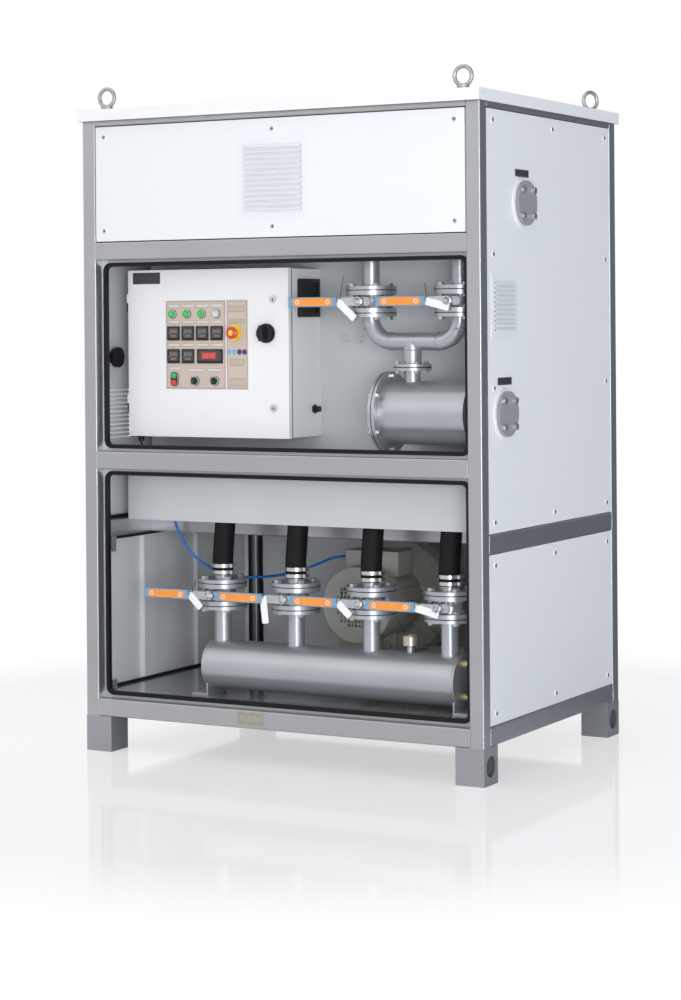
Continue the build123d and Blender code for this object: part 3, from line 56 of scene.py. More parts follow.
# The camera looks along (-sin yaw, cos yaw) lifted by the pitch, and rolls about that line
def addCamera(spec):
    yaw, pitch, roll = [math.radians(spec[key]) for key in ("yaw", "pitch", "roll")]
    ahead = Vector((-math.sin(yaw) * math.cos(pitch), math.cos(yaw) * math.cos(pitch), math.sin(pitch)))
    level = Vector((math.cos(yaw), math.sin(yaw), 0))
    above = level.cross(ahead)
    right = level * math.cos(roll) + above * math.sin(roll)
    up = above * math.cos(roll) - level * math.sin(roll)
    data = bpy.data.cameras.new("camera")
    data.lens, data.sensor_width, data.shift_y = spec["lens"], spec["sensor"], spec["shiftY"]
    data.clip_end = spec["farthest"]
    obj = placed("camera", data)
    turn = Matrix((right, up, -ahead)).transposed().to_4x4()
    obj.matrix_world = Matrix.Translation(spec["place"]) @ turn
    bpy.context.scene.camera = obj


addCamera(camera)


# Noise texture at a coordinate; the scale is a number or another socket
def noiseOf(tree, coordinate, scale, detail=3.0):
    noise = tree.nodes.new("ShaderNodeTexNoise")
    noise.inputs["Detail"].default_value = detail
    tree.links.new(coordinate, noise.inputs["Vector"])
    if isinstance(scale, float):
        noise.inputs["Scale"].default_value = scale
    else:
        tree.links.new(scale, noise.inputs["Scale"])
    return noise.outputs["Fac"]


# Math node on two values, each a number or a socket
def mathOf(tree, operation, first, second):
    node = tree.nodes.new("ShaderNodeMath")
    node.operation = operation
    for socket, value in zip(node.inputs, (first, second)):
        if isinstance(value, (int, float)):
            socket.default_value = value
        else:
            tree.links.new(value, socket)
    return node.outputs[0]


# Colour mix: first times (1 - share) plus second times share
def mixOf(tree, share, first, second):
    node = tree.nodes.new("ShaderNodeMix")
    node.data_type = "RGBA"
    tree.links.new(share, node.inputs["Factor"])
    for socket, value in ((node.inputs["A"], first), (node.inputs["B"], second)):
        if isinstance(value, tuple):
            socket.default_value = (*value, 1)
        else:
            tree.links.new(value, socket)
    return node.outputs["Result"]


# White floor with a fading mirror image, white surroundings and soft lamps
studio = {"floorColour": (0.93, 0.93, 0.94), "floorRough": 0.07, "floorSize": 60.0, "mirrorLevel": 0.95,
          "mirror": (0.95, 2.6), "veil": 0.55, "white": (1.15, 2.5), "behind": (0.3, 1.2), "background": 1.0,
          "brightSide": (-0.50, -0.86, 0.10), "brightRange": (-0.45, 0.55), "bright": (0.95, 0.95, 0.95),
          "backSide": (-0.48, 0.84, 0.25), "backRange": (0.72, 0.86), "dim": (0.10, 0.12, 0.16),
          "lamps": [("keyLamp", (-3.4, -6.0, 4.6), 4.0, 20.0, (1.0, 1.0, 1.0)),
                    ("frontLamp", (4.6, -6.4, 1.2), 2.5, 222.0, (0.93, 0.96, 1.0)),
                    ("rightLamp", (6.5, -1.2, 2.8), 3.5, 72.0, (0.84, 0.92, 1.0)),
                    ("topLamp", (0.0, -0.5, 6.5), 4.0, 40.0, (1.0, 1.0, 1.0))],
          "aim": (0.0, 0.0, 1.1)}


# Value from one range to another, clamped: share is (value - low) / (high - low)
def rangeOf(tree, value, low, high, toLow=0.0, toHigh=1.0):
    node = tree.nodes.new("ShaderNodeMapRange")
    for label, number in (("From Min", low), ("From Max", high), ("To Min", toLow), ("To Max", toHigh)):
        node.inputs[label].default_value = number
    tree.links.new(value, node.inputs["Value"])
    return node.outputs["Result"]


# Length of a direction's part along another: their dot product
def alongOf(tree, direction, other):
    node = tree.nodes.new("ShaderNodeVectorMath")
    node.operation = "DOT_PRODUCT"
    tree.links.new(direction, node.inputs[0])
    node.inputs[1].default_value = other
    return node.outputs["Value"]


# Shader with a share of plain glow laid over it: shader times (1 - share) plus glow times share
def glowOver(tree, shader, share, colour):
    glow = tree.nodes.new("ShaderNodeEmission")
    glow.inputs["Color"].default_value = (*colour, 1)
    blend = tree.nodes.new("ShaderNodeMixShader")
    for socket, value in zip(blend.inputs, (share, shader, glow.outputs[0])):
        tree.links.new(value, socket)
    return blend.outputs[0]


# World: plain white to the camera, and for light and gloss bright on one side and dim on the other, with a
# white patch behind on the left that the floor mirrors
def addWorld(spec):
    world = bpy.data.worlds.new("studio")
    bpy.context.scene.world = world
    world.use_nodes = True
    tree = world.node_tree
    back = tree.nodes["Background"]
    where = tree.nodes.new("ShaderNodeTexCoord").outputs["Generated"]
    share = rangeOf(tree, alongOf(tree, where, spec["brightSide"]), *spec["brightRange"])
    surround = mixOf(tree, share, spec["dim"], spec["bright"])
    behind = rangeOf(tree, alongOf(tree, where, spec["backSide"]), *spec["backRange"])
    surround = mixOf(tree, behind, surround, (spec["background"],) * 3)
    camera = tree.nodes.new("ShaderNodeLightPath").outputs["Is Camera Ray"]
    tree.links.new(mixOf(tree, camera, surround, (spec["background"],) * 3), back.inputs["Color"])


# Floor: its mirror image thins out with the distance from the middle, a white veil thickens to plain white,
# and behind the object it is dim to glossy rays, so that the metal sides stay dark
def addFloor(spec):
    half = spec["floorSize"] / 2
    mesh = bpy.data.meshes.new("floor")
    corners = [(-half, -half, 0), (half, -half, 0), (half, half, 0), (-half, half, 0)]
    mesh.from_pydata(corners, [], [(0, 1, 2, 3)])
    floor = placed("floor", mesh)
    material = bpy.data.materials.new("floorPale")
    material.use_nodes = True
    tree = material.node_tree
    shader = tree.nodes["Principled BSDF"]
    shader.inputs["Base Color"].default_value = (*spec["floorColour"], 1)
    shader.inputs["Roughness"].default_value = spec["floorRough"]
    where = tree.nodes.new("ShaderNodeTexCoord").outputs["Object"]
    distance = tree.nodes.new("ShaderNodeVectorMath")
    distance.operation = "LENGTH"
    tree.links.new(where, distance.inputs[0])
    reach = distance.outputs["Value"]
    tree.links.new(rangeOf(tree, reach, *spec["mirror"], spec["mirrorLevel"], 0.0),
                   shader.inputs["Specular IOR Level"])
    path = tree.nodes.new("ShaderNodeLightPath")
    white = mathOf(tree, "MAXIMUM", rangeOf(tree, reach, *spec["white"]), spec["veil"])
    share = mathOf(tree, "MULTIPLY", white, path.outputs["Is Camera Ray"])
    veiled = glowOver(tree, shader.outputs[0], share, (spec["background"],) * 3)
    split = tree.nodes.new("ShaderNodeSeparateXYZ")
    tree.links.new(where, split.inputs[0])
    share = mathOf(tree, "MULTIPLY", rangeOf(tree, split.outputs["Y"], *spec["behind"]),
                   path.outputs["Is Glossy Ray"])
    shaded = glowOver(tree, veiled, share, spec["dim"])
    tree.links.new(shaded, tree.nodes["Material Output"].inputs["Surface"])
    mesh.materials.append(material)


# Square lamps that look at one point of the object: name, place, size, power and colour of each
def addLamps(spec):
    for name, place, size, power, colour in spec["lamps"]:
        data = bpy.data.lights.new(name, "AREA")
        data.size, data.energy, data.color = size, power, colour
        lamp = placed(name, data)
        aim = Vector(spec["aim"]) - Vector(place)
        turn = aim.to_track_quat("-Z", "Y").to_matrix().to_4x4()
        lamp.matrix_world = Matrix.Translation(place) @ turn


addWorld(studio)
addFloor(studio)
addLamps(studio)
bpy.context.scene.view_settings.view_transform = "Standard"
print("stage: camera and studio")


# Empty shader node group with its sockets; each group is built once and placed in many materials
def newGroup(name, *sockets):
    group = bpy.data.node_groups.new(name, "ShaderNodeTree")
    for way, kind, labels in sockets:
        for label in labels:
            group.interface.new_socket(label, in_out=way, socket_type="NodeSocket" + kind)
    return group, group.nodes.new("NodeGroupInput"), group.nodes.new("NodeGroupOutput")


# Noise values where a patch begins and where it is full, the detail and scale of the noises, and the dust
weathering = {"patchRange": (0.38, 0.66), "patchDetail": 5.0, "grainDetail": 2.0, "clouds": (14.0, 6.0),
              "dust": (0.55, 0.54, 0.52)}


# Broad patches blend the coat towards its tint and change the gloss; fine grain gives a height
def surfaceGroup():
    group, given, out = newGroup(
        "surface", ("INPUT", "Color", ("Coat", "Tint")),
        ("INPUT", "Float", ("Blend", "Fine", "Broad", "Rough", "Span")),
        ("OUTPUT", "Color", ("Color",)), ("OUTPUT", "Float", ("Roughness", "Height")))
    where = group.nodes.new("ShaderNodeTexCoord").outputs["Object"]
    patches = noiseOf(group, where, given.outputs["Broad"], weathering["patchDetail"])
    grain = noiseOf(group, where, given.outputs["Fine"], weathering["grainDetail"])
    patchy = rangeOf(group, patches, *weathering["patchRange"])
    share = mathOf(group, "MULTIPLY", patchy, given.outputs["Blend"])
    colour = mixOf(group, share, given.outputs["Coat"], given.outputs["Tint"])
    centred = mathOf(group, "SUBTRACT", patches, 0.5)
    change = mathOf(group, "MULTIPLY", centred, given.outputs["Span"])
    group.links.new(colour, out.inputs["Color"])
    group.links.new(mathOf(group, "ADD", given.outputs["Rough"], change), out.inputs["Roughness"])
    group.links.new(grain, out.inputs["Height"])
    return group


# Dust gathers on faces that look up, and thins out with height above the floor
def dustGroup():
    group, given, out = newGroup("dust", ("INPUT", "Color", ("Color",)), ("INPUT", "Float", ("Amount",)),
                                 ("OUTPUT", "Color", ("Color",)))
    where = group.nodes.new("ShaderNodeTexCoord").outputs["Object"]
    facing = group.nodes.new("ShaderNodeSeparateXYZ")
    geometry = group.nodes.new("ShaderNodeNewGeometry")
    group.links.new(geometry.outputs["Normal"], facing.inputs[0])
    upward = mathOf(group, "MAXIMUM", facing.outputs["Z"], 0.0)
    clouds = noiseOf(group, where, *weathering["clouds"])
    share = mathOf(group, "MULTIPLY", mathOf(group, "MULTIPLY", upward, clouds), given.outputs["Amount"])
    group.links.new(mixOf(group, share, given.outputs["Color"], weathering["dust"]), out.inputs["Color"])
    return group


groups = {"surface": surfaceGroup(), "dust": dustGroup()}


# Material with the surface group, a little dust on upward faces, and the grain as bump
def finish(name, coat, tint, blend=0.35, fine=900.0, broad=4.0, rough=0.4, span=0.15, bump=0.05,
           metallic=0.0, coatWeight=0.0, dust=0.0, bumpDistance=0.0004, specular=0.5):
    material = bpy.data.materials.new(name)
    material.use_nodes = True
    tree = material.node_tree
    shader = tree.nodes["Principled BSDF"]
    surface = tree.nodes.new("ShaderNodeGroup")
    surface.node_tree = groups["surface"]
    for label, value in (("Coat", (*coat, 1)), ("Tint", (*tint, 1)), ("Blend", blend), ("Fine", fine),
                         ("Broad", broad), ("Rough", rough), ("Span", span)):
        surface.inputs[label].default_value = value
    colour = surface.outputs["Color"]
    if dust > 0:
        layer = tree.nodes.new("ShaderNodeGroup")
        layer.node_tree = groups["dust"]
        layer.inputs["Amount"].default_value = dust
        tree.links.new(colour, layer.inputs["Color"])
        colour = layer.outputs["Color"]
    tree.links.new(colour, shader.inputs["Base Color"])
    tree.links.new(surface.outputs["Roughness"], shader.inputs["Roughness"])
    relief = tree.nodes.new("ShaderNodeBump")
    relief.inputs["Strength"].default_value = bump
    relief.inputs["Distance"].default_value = bumpDistance
    tree.links.new(surface.outputs["Height"], relief.inputs["Height"])
    tree.links.new(relief.outputs["Normal"], shader.inputs["Normal"])
    shader.inputs["Metallic"].default_value = metallic
    shader.inputs["Coat Weight"].default_value = coatWeight
    shader.inputs["Specular IOR Level"].default_value = specular
    return material


finishes = {
    "framePaint": ((0.46, 0.465, 0.475), (0.39, 0.395, 0.41),
        dict(rough=0.36, bump=0.12, fine=520.0, metallic=0.85, dust=0.3)),
    "footPaint": ((0.36, 0.365, 0.385), (0.30, 0.305, 0.325),
        dict(rough=0.40, bump=0.14, fine=480.0, metallic=0.6, dust=0.3)),
    "panelWhite": ((0.80, 0.81, 0.83), (0.75, 0.765, 0.79),
        dict(rough=0.36, bump=0.06, fine=650.0, broad=2.0)),
    "roofWhite": ((0.84, 0.84, 0.85), (0.79, 0.79, 0.80), dict(rough=0.36, bump=0.06, dust=0.25)),
    "louvreWhite": ((0.78, 0.795, 0.82), (0.72, 0.74, 0.77), dict(rough=0.36, bump=0.06, dust=0.35)),
    "innerGrey": ((0.55, 0.56, 0.575), (0.50, 0.51, 0.525), dict(rough=0.42, bump=0.08, dust=0.3)),
    "floorDark": ((0.13, 0.145, 0.155), (0.10, 0.11, 0.12),
        dict(rough=0.20, bump=0.04, coatWeight=0.4, dust=0.25)),
    "boxWhite": ((0.83, 0.83, 0.835), (0.79, 0.79, 0.80), dict(rough=0.42, bump=0.22, fine=420.0)),
    "zinc": ((0.62, 0.62, 0.61), (0.47, 0.475, 0.48),
        dict(rough=0.30, bump=0.10, metallic=0.9, broad=30.0, blend=0.6)),
    "zincDull": ((0.50, 0.50, 0.49), (0.36, 0.36, 0.36),
        dict(rough=0.42, bump=0.16, metallic=0.8, broad=45.0, blend=0.7)),
    "washerWhite": ((0.84, 0.85, 0.86), (0.78, 0.79, 0.80), dict(rough=0.26, coatWeight=0.3, bump=0.04)),
    "screwSteel": ((0.42, 0.43, 0.45), (0.30, 0.31, 0.32), dict(rough=0.35, metallic=0.9, broad=60.0)),
    "rubberBlack": ((0.008, 0.008, 0.009), (0.014, 0.014, 0.015),
        dict(rough=0.52, bump=0.25, fine=700.0, specular=0.22)),
    "galvanised": ((0.60, 0.61, 0.62), (0.48, 0.49, 0.51),
        dict(rough=0.38, bump=0.10, metallic=0.75, broad=22.0, blend=0.7)),
    "plasticBlack": ((0.010, 0.010, 0.011), (0.017, 0.017, 0.018),
        dict(rough=0.38, bump=0.15, fine=1100.0, specular=0.32)),
    "overlayBeige": ((0.58, 0.48, 0.42), (0.54, 0.44, 0.39), dict(rough=0.48, bump=0.05, fine=1500.0)),
    "labelDark": ((0.040, 0.036, 0.040), (0.060, 0.048, 0.050), dict(rough=0.40, bump=0.04, broad=30.0)),
    "meterGlass": ((0.035, 0.033, 0.034), (0.05, 0.046, 0.046),
        dict(rough=0.14, bump=0.02, coatWeight=0.5)),
    "silverPaint": ((0.46, 0.475, 0.505), (0.38, 0.395, 0.425),
        dict(rough=0.33, bump=0.22, metallic=0.68, fine=420.0, dust=0.3)),
    "vesselPaint": ((0.43, 0.43, 0.42), (0.36, 0.36, 0.36),
        dict(rough=0.40, bump=0.16, fine=380.0, dust=0.3)),
    "coverGrey": ((0.30, 0.31, 0.33), (0.24, 0.25, 0.27), dict(rough=0.36, bump=0.12, fine=420.0)),
    "ringWhite": ((0.80, 0.81, 0.83), (0.74, 0.75, 0.78), dict(rough=0.34, bump=0.06)),
    "leverZinc": ((0.60, 0.61, 0.62), (0.46, 0.47, 0.49),
        dict(rough=0.28, bump=0.10, metallic=0.9, broad=40.0, blend=0.6)),
    "sleeveBlue": ((0.16, 0.34, 0.52), (0.13, 0.29, 0.46), dict(rough=0.40, bump=0.10, broad=20.0)),
    "inlayOrange": ((0.86, 0.30, 0.05), (0.78, 0.24, 0.035), dict(rough=0.36, bump=0.10, broad=25.0)),
    "tagCard": ((0.86, 0.86, 0.85), (0.78, 0.78, 0.77), dict(rough=0.55, bump=0.06, broad=50.0)),
    "hoseRubber": ((0.006, 0.006, 0.0065), (0.013, 0.013, 0.014),
        dict(rough=0.66, bump=0.6, fine=260.0, broad=20.0, bumpDistance=0.001, specular=0.2)),
    "bandSteel": ((0.66, 0.66, 0.66), (0.5, 0.5, 0.51),
        dict(rough=0.22, bump=0.06, metallic=0.95, broad=60.0)),
    "gaugeCopper": ((0.56, 0.50, 0.43), (0.45, 0.40, 0.35),
        dict(rough=0.30, bump=0.08, metallic=0.8, broad=30.0)),
    "castOlive": ((0.50, 0.51, 0.45), (0.41, 0.42, 0.365),
        dict(rough=0.46, bump=0.30, fine=300.0, broad=12.0, dust=0.45, bumpDistance=0.0007)),
    "castAluminium": ((0.55, 0.55, 0.55), (0.44, 0.44, 0.44),
        dict(rough=0.42, bump=0.2, metallic=0.8, broad=20.0)),
    "leadBlack": ((0.010, 0.010, 0.011), (0.018, 0.018, 0.019),
        dict(rough=0.42, bump=0.10, fine=900.0, specular=0.3)),
    "cableBlue": ((0.014, 0.20, 0.72), (0.012, 0.17, 0.62), dict(rough=0.32, bump=0.08, fine=800.0)),
    "stopRed": ((0.66, 0.045, 0.025), (0.56, 0.035, 0.02), dict(rough=0.28, coatWeight=0.3, broad=40.0)),
    "goGreen": ((0.03, 0.42, 0.14), (0.025, 0.35, 0.12), dict(rough=0.28, coatWeight=0.3, broad=40.0)),
    "warnYellow": ((0.86, 0.62, 0.04), (0.78, 0.55, 0.03), dict(rough=0.36, broad=40.0)),
    "darkGreen": ((0.012, 0.045, 0.035), (0.02, 0.055, 0.045), dict(rough=0.34, broad=40.0)),
    "lampGreen": ((0.035, 0.56, 0.10), (0.03, 0.46, 0.08), dict(rough=0.16, coatWeight=0.6, broad=60.0)),
    "lampWhite": ((0.70, 0.72, 0.78), (0.60, 0.63, 0.70), dict(rough=0.16, coatWeight=0.6, broad=60.0)),
    "digitGrey": ((0.30, 0.27, 0.27), (0.25, 0.22, 0.22), dict(rough=0.5)),
    "displayRed": ((0.55, 0.03, 0.02), (0.42, 0.02, 0.015), dict(rough=0.2, coatWeight=0.5)),
    "stickerBlue": ((0.20, 0.42, 0.66), (0.18, 0.38, 0.60), dict(rough=0.42)),
    "stickerViolet": ((0.055, 0.045, 0.16), (0.07, 0.05, 0.18), dict(rough=0.42)),
    # near-black painted shade, laid as flat plates where the screw sockets and the key slots would be
    # recessed
    "darkInside": ((0.02, 0.02, 0.022), (0.03, 0.03, 0.03), dict(rough=0.7)),
    "plateMetal": ((0.46, 0.44, 0.38), (0.36, 0.345, 0.30),
        dict(rough=0.34, metallic=0.85, broad=60.0, blend=0.6)),
    # dark grey of the filter mesh behind the louvres, dark also as painted shade seen through the slots
    "meshGrey": ((0.16, 0.165, 0.17), (0.12, 0.125, 0.13), dict(rough=0.6, fine=2200.0, bump=0.5)),
    "chrome": ((0.74, 0.74, 0.75), (0.62, 0.62, 0.64),
        dict(rough=0.12, metallic=1.0, broad=60.0, bump=0.02)),
    "printBrown": ((0.14, 0.11, 0.10), (0.18, 0.15, 0.13), dict(rough=0.5)),
    "labelCream": ((0.66, 0.63, 0.57), (0.60, 0.57, 0.51), dict(rough=0.48)),
    "labelTan": ((0.50, 0.44, 0.34), (0.44, 0.38, 0.29), dict(rough=0.48)),
    "digitLit": ((0.75, 0.22, 0.16), (0.65, 0.16, 0.12), dict(rough=0.4)),
    "dialWhite": ((0.84, 0.84, 0.83), (0.78, 0.78, 0.77), dict(rough=0.35, coatWeight=0.4)),
}
looks = {name: finish(name, coat, tint, **extra) for name, (coat, tint, extra) in finishes.items()}
print("stage: materials,", len(looks))


# Middle of every face as one array, in millimetres
def faceMiddles(obj):
    mesh = obj.data
    centres = np.empty(len(mesh.polygons) * 3, np.float32)
    mesh.polygons.foreach_get("center", centres)
    return centres.reshape(-1, 3).astype(float) / mm


# Places in millimetres, and where one look ends and the next begins on a node with several
doorFront = -430.0
leverPlaces = [(272.0, 1520.5), (594.0, 1520.5),
               (-306.0, 540.0), (-21.0, 540.0), (264.0, 540.0), (549.0, 540.0)]
estopPlace = (-219.0, 1421.0)
limits = {"portRing": 754.2, "stopMiddle": 9.0, "stopFront": doorFront - 20, "stopRing": 30.0,
          "whiteLamps": -320.0, "lens": doorFront - 7.0, "glass": (doorFront - 5.2, doorFront - 3.2)}
grip = {"plateY": -472.5, "plateHalf": (2.8, 14.0), "start": -255.0, "stop": -75.0, "near": 0.5, "past": 1.0,
        "half": 17.5}
tag = {"y": (-476.2, -474.9), "x": (-80.0, 12.0), "clear": 16.5, "above": 12.0}


# The grip stands off the lever plate by more than its half thickness on every side
def inSleeve(c, x, z):
    along, up = c[:, 0] - x, np.abs(c[:, 2] - z)
    outside = (np.abs(c[:, 1] - grip["plateY"]) > grip["plateHalf"][0]) | (up > grip["plateHalf"][1])
    ends = (np.abs(along - grip["start"]) < grip["near"]) | (np.abs(along - grip["stop"]) < grip["near"])
    within = (along > grip["start"] - grip["past"]) & (along < grip["stop"] + grip["past"])
    return within & (up < grip["half"]) & (outside | ends)


# The card is the only part ahead of the plate that hangs beside the sleeve
def onTag(c, x, z):
    along, up = c[:, 0] - x, c[:, 2] - z
    ahead = (c[:, 1] > tag["y"][0]) & (c[:, 1] < tag["y"][1])
    beside = (along > tag["x"][0]) & (along < tag["x"][1]) & (up < tag["above"])
    return ahead & beside & (np.hypot(along, up) > tag["clear"])


# Faces whose middle is less than a radius from the stop button's axis
def nearStop(c, radius):
    return np.hypot(c[:, 0] - estopPlace[0], c[:, 2] - estopPlace[1]) < radius


# Finish of each CAD node that has one look
simpleFinishes = {
    "framePaint": "frame_posts frame_rails opening_lips", "footPaint": "feet", "roofWhite": "roof",
    "panelWhite": "front_upper_panel right_panels left_panels rear_panels", "louvreWhite": "louvres",
    "washerWhite": "panel_screws", "galvanised": "panel_tabs box_backplate", "floorDark": "floor_deck",
    "innerGrey": "shelf_decks inner_walls", "boxWhite": "control_box box_door",
    "overlayBeige": "door_overlay",
    "plasticBlack": "box_fittings cable_glands main_switch_handle gauge_needle",
    "goGreen": "start_button", "stopRed": "stop_button", "darkGreen": "selector_left selector_right",
    "zinc": "door_lock_lower door_lock_upper flange_bolts", "zincDull": "lifting_eyes",
    "silverPaint": "upper_pipes heater_inlet_pipe heater_tank heater_bundle valve_bodies manifold",
    "rubberBlack": "rubber_seals pipe_gaskets", "hoseRubber": "hoses", "bandSteel": "hose_clamps",
    "gaugeCopper": "gauge_case", "vesselPaint": "adsorber_vessels",
    "castOlive": "blower_motor blower_housing", "castAluminium": "blower_rotor",
    "leadBlack": "control_lead control_lead_coil", "cableBlue": "motor_cable",
}

# Finishes of the nodes with several looks: (finish, test) pairs, each test on the middles of the faces
mixedFinishes = {
    "port_covers": ("coverGrey", [("ringWhite", lambda c: c[:, 0] < limits["portRing"])]),
    "emergency_stop_button": ("stopRed", [
        ("warnYellow", lambda c: nearStop(c, limits["stopMiddle"]) & (c[:, 1] < limits["stopFront"]))]),
    "switch_bezels": ("plasticBlack", [("warnYellow", lambda c: nearStop(c, limits["stopRing"]))]),
    "pilot_lamps": ("plasticBlack", [
        ("lampGreen", lambda c: (c[:, 0] < limits["whiteLamps"]) & (c[:, 1] < limits["lens"])),
        ("lampWhite", lambda c: (c[:, 0] > limits["whiteLamps"]) & (c[:, 1] < limits["lens"]))]),
    "panel_meters": ("plasticBlack", [
        ("meterGlass", lambda c: (c[:, 1] > limits["glass"][0]) & (c[:, 1] < limits["glass"][1]))]),
}
for index, (x, z) in enumerate(leverPlaces, 1):
    mixedFinishes["valve_lever_%d" % index] = ("leverZinc", [
        ("sleeveBlue", lambda c, x=x, z=z: inSleeve(c, x, z)),
        ("tagCard", lambda c, x=x, z=z: onTag(c, x, z))])

oneLook = {name: look for look, names in simpleFinishes.items() for name in names.split()}
for name, look in oneLook.items():
    nodes[name].data.materials.clear()
    nodes[name].data.materials.append(looks[look])
for name, (base, parts) in mixedFinishes.items():
    obj = nodes[name]
    obj.data.materials.clear()
    for look in [base] + [part[0] for part in parts]:
        obj.data.materials.append(looks[look])
    middles = faceMiddles(obj)
    index = np.zeros(len(middles), np.int32)
    for order, (look, test) in enumerate(parts, 1):
        index[test(middles)] = order
    obj.data.polygons.foreach_set("material_index", index)
bare = sorted(set(nodes) - set(oneLook) - set(mixedFinishes))
print("stage: CAD nodes finished, without a finish:", bare)


# Shapes are worked out as whole arrays, each given back as its points and its four-cornered faces


# Faces of a grid of rows by columns, its last column joined to the first
def gridFaces(rows, columns):
    i, j = np.meshgrid(np.arange(rows - 1), np.arange(columns), indexing="ij")
    k = (j + 1) % columns
    quads = np.stack([i * columns + j, i * columns + k, (i + 1) * columns + k, (i + 1) * columns + j], -1)
    return quads.reshape(-1, 4)


# Local (u, v, w) points set out along three directions from an origin
def carried(local, origin, uDir, vDir, wDir):
    return np.asarray(origin) + local[..., :1] * np.asarray(uDir) + local[..., 1:2] * np.asarray(vDir) \
        + local[..., 2:3] * np.asarray(wDir)


# Profile of (radius, height) pairs turned about an axis: a point is radius times (cos, sin), plus height
def turnedShape(profile, origin, axis, side, count=32):
    profile = np.asarray(profile, float)
    angles = np.linspace(0, 2 * np.pi, count, endpoint=False)
    axis, side = np.asarray(axis, float), np.asarray(side, float)
    across = np.cross(axis, side)
    local = np.stack([profile[:, :1] * np.cos(angles), profile[:, :1] * np.sin(angles),
                      np.repeat(profile[:, 1:], count, 1)], -1)
    points = carried(local, origin, side, across, axis)
    return points.reshape(-1, 3), gridFaces(len(profile), count)


# Rectangle outline with round corners: quarter circles joined by straight runs
def roundedOutline(width, height, corner, perCorner=6):
    corner = min(corner, width / 2 - 1e-4, height / 2 - 1e-4)
    turn = np.linspace(0, np.pi / 2, perCorner)
    quarters = (np.arange(4)[:, None] * np.pi / 2 + turn).ravel()
    cx = np.repeat([1, -1, -1, 1], perCorner) * (width / 2 - corner)
    cy = np.repeat([1, 1, -1, -1], perCorner) * (height / 2 - corner)
    return np.stack([cx + corner * np.cos(quarters), cy + corner * np.sin(quarters)], -1)


# Flat plate: rings run from its middle over the bevelled edge to the back, which is closed too
def roundedPlate(origin, uDir, vDir, wDir, width, height, corner, thickness, bevel):
    wide = roundedOutline(width, height, corner)
    tight = roundedOutline(width - 2 * bevel, height - 2 * bevel, max(corner - bevel, 0.05))
    rings = [(tight * 0.0, 0.0), (wide, 0.0), (wide, thickness - bevel), (tight, thickness),
             (tight * 0.0, thickness)]
    local = np.stack([np.concatenate([ring, np.full((len(ring), 1), level)], 1) for ring, level in rings])
    return carried(local, origin, uDir, vDir, wDir).reshape(-1, 3), gridFaces(len(rings), len(wide))


# Rectangular frame of thin flat bars: four plates, each along one side
def frameLines(centre, uDir, vDir, wDir, width, height, line, thickness):
    centre, uDir, vDir = [np.asarray(value, float) for value in (centre, uDir, vDir)]
    sides = [(vDir * (height - line) / 2, width, line), (-vDir * (height - line) / 2, width, line),
             (uDir * (width - line) / 2, line, height), (-uDir * (width - line) / 2, line, height)]
    return [roundedPlate(centre + shift, uDir, vDir, wDir, wide, high, line * 0.2, thickness, line * 0.1)
            for shift, wide, high in sides]


# The same finish for several shapes
def inLook(look, shapes):
    return [(look, shape) for shape in shapes]


# Plate with a printed border on it: its look and shape, then the four lines, one plate thickness out
def borderedPlate(look, place, face, size, edge, borderLook, border):
    top = np.array(place) + np.array(face[2]) * edge[1]
    return [(look, roundedPlate(place, *face, *size, *edge))] \
        + inLook(borderLook, frameLines(top, *face, *border))


# Rows of an array scaled to length one
def unit(rows):
    return rows / np.linalg.norm(rows, axis=1, keepdims=True)


# Rings of points across a path: each point is the path's plus the size times (cos, sin) across the path
def ringsAlong(path, ahead, outward, size, sides):
    other = np.cross(ahead, outward)
    turn = np.linspace(0, 2 * np.pi, sides, endpoint=False)
    ring = outward[:, None] * np.cos(turn)[None, :, None] + other[:, None] * np.sin(turn)[None, :, None]
    return path[:, None] + ring * size[:, None, None]


# Bead along a closed path, its size rippling as a sine along the way
def closedBead(path, radius, sides, ripple=0.0, ripples=0):
    path = np.asarray(path, float)
    ahead = unit(np.roll(path, -1, 0) - np.roll(path, 1, 0))
    outward = path - path.mean(0)
    outward = unit(outward - (outward * ahead).sum(1, keepdims=True) * ahead)
    size = radius * (1 + ripple * np.sin(np.arange(len(path)) / len(path) * 2 * np.pi * ripples))
    points = ringsAlong(path, ahead, outward, size, sides)
    points = np.concatenate([points, points[:1]], 0)
    return points.reshape(-1, 3), gridFaces(len(path) + 1, sides)


# Tube along an open path, closed by a point at both ends; its rings turn from the axis it follows least
def openBead(path, radius, sides):
    path = np.asarray(path, float)
    ahead = unit(np.gradient(path, axis=0))
    outward = unit(np.cross(ahead, np.eye(3)[np.abs(ahead).mean(0).argmin()]))
    points = ringsAlong(path, ahead, outward, np.full(len(path), radius), sides)
    ends = [np.repeat(path[end][None, None], sides, 1) for end in (0, -1)]
    points = np.concatenate([ends[0], points, ends[1]])
    return points.reshape(-1, 3), gridFaces(len(path) + 2, sides)


# Points on a smooth curve through given ones: each stretch is a Catmull-Rom cubic
def smoothPath(points, steps=8):
    points = np.asarray(points, float)
    padded = np.concatenate([2 * points[:1] - points[1:2], points, 2 * points[-1:] - points[-2:-1]])
    t = np.linspace(0, 1, steps, endpoint=False)[None, :, None]
    a, b, c, d = [padded[shift:len(padded) - 3 + shift, None] for shift in range(4)]
    square, cube = 2 * a - 5 * b + 4 * c - d, 3 * b - 3 * c + d - a
    curve = 0.5 * (2 * b + (c - a) * t + square * t ** 2 + cube * t ** 3)
    return np.concatenate([curve.reshape(-1, 3), points[-1:]])


# Points round a circle about an axis: the centre plus radius times (cos, sin)
def circlePath(centre, axis, side, radius, count):
    turn = np.linspace(0, 2 * np.pi, count, endpoint=False)[:, None]
    across = np.cross(axis, side)
    return np.asarray(centre) + radius * (np.cos(turn) * np.asarray(side) + np.sin(turn) * across)


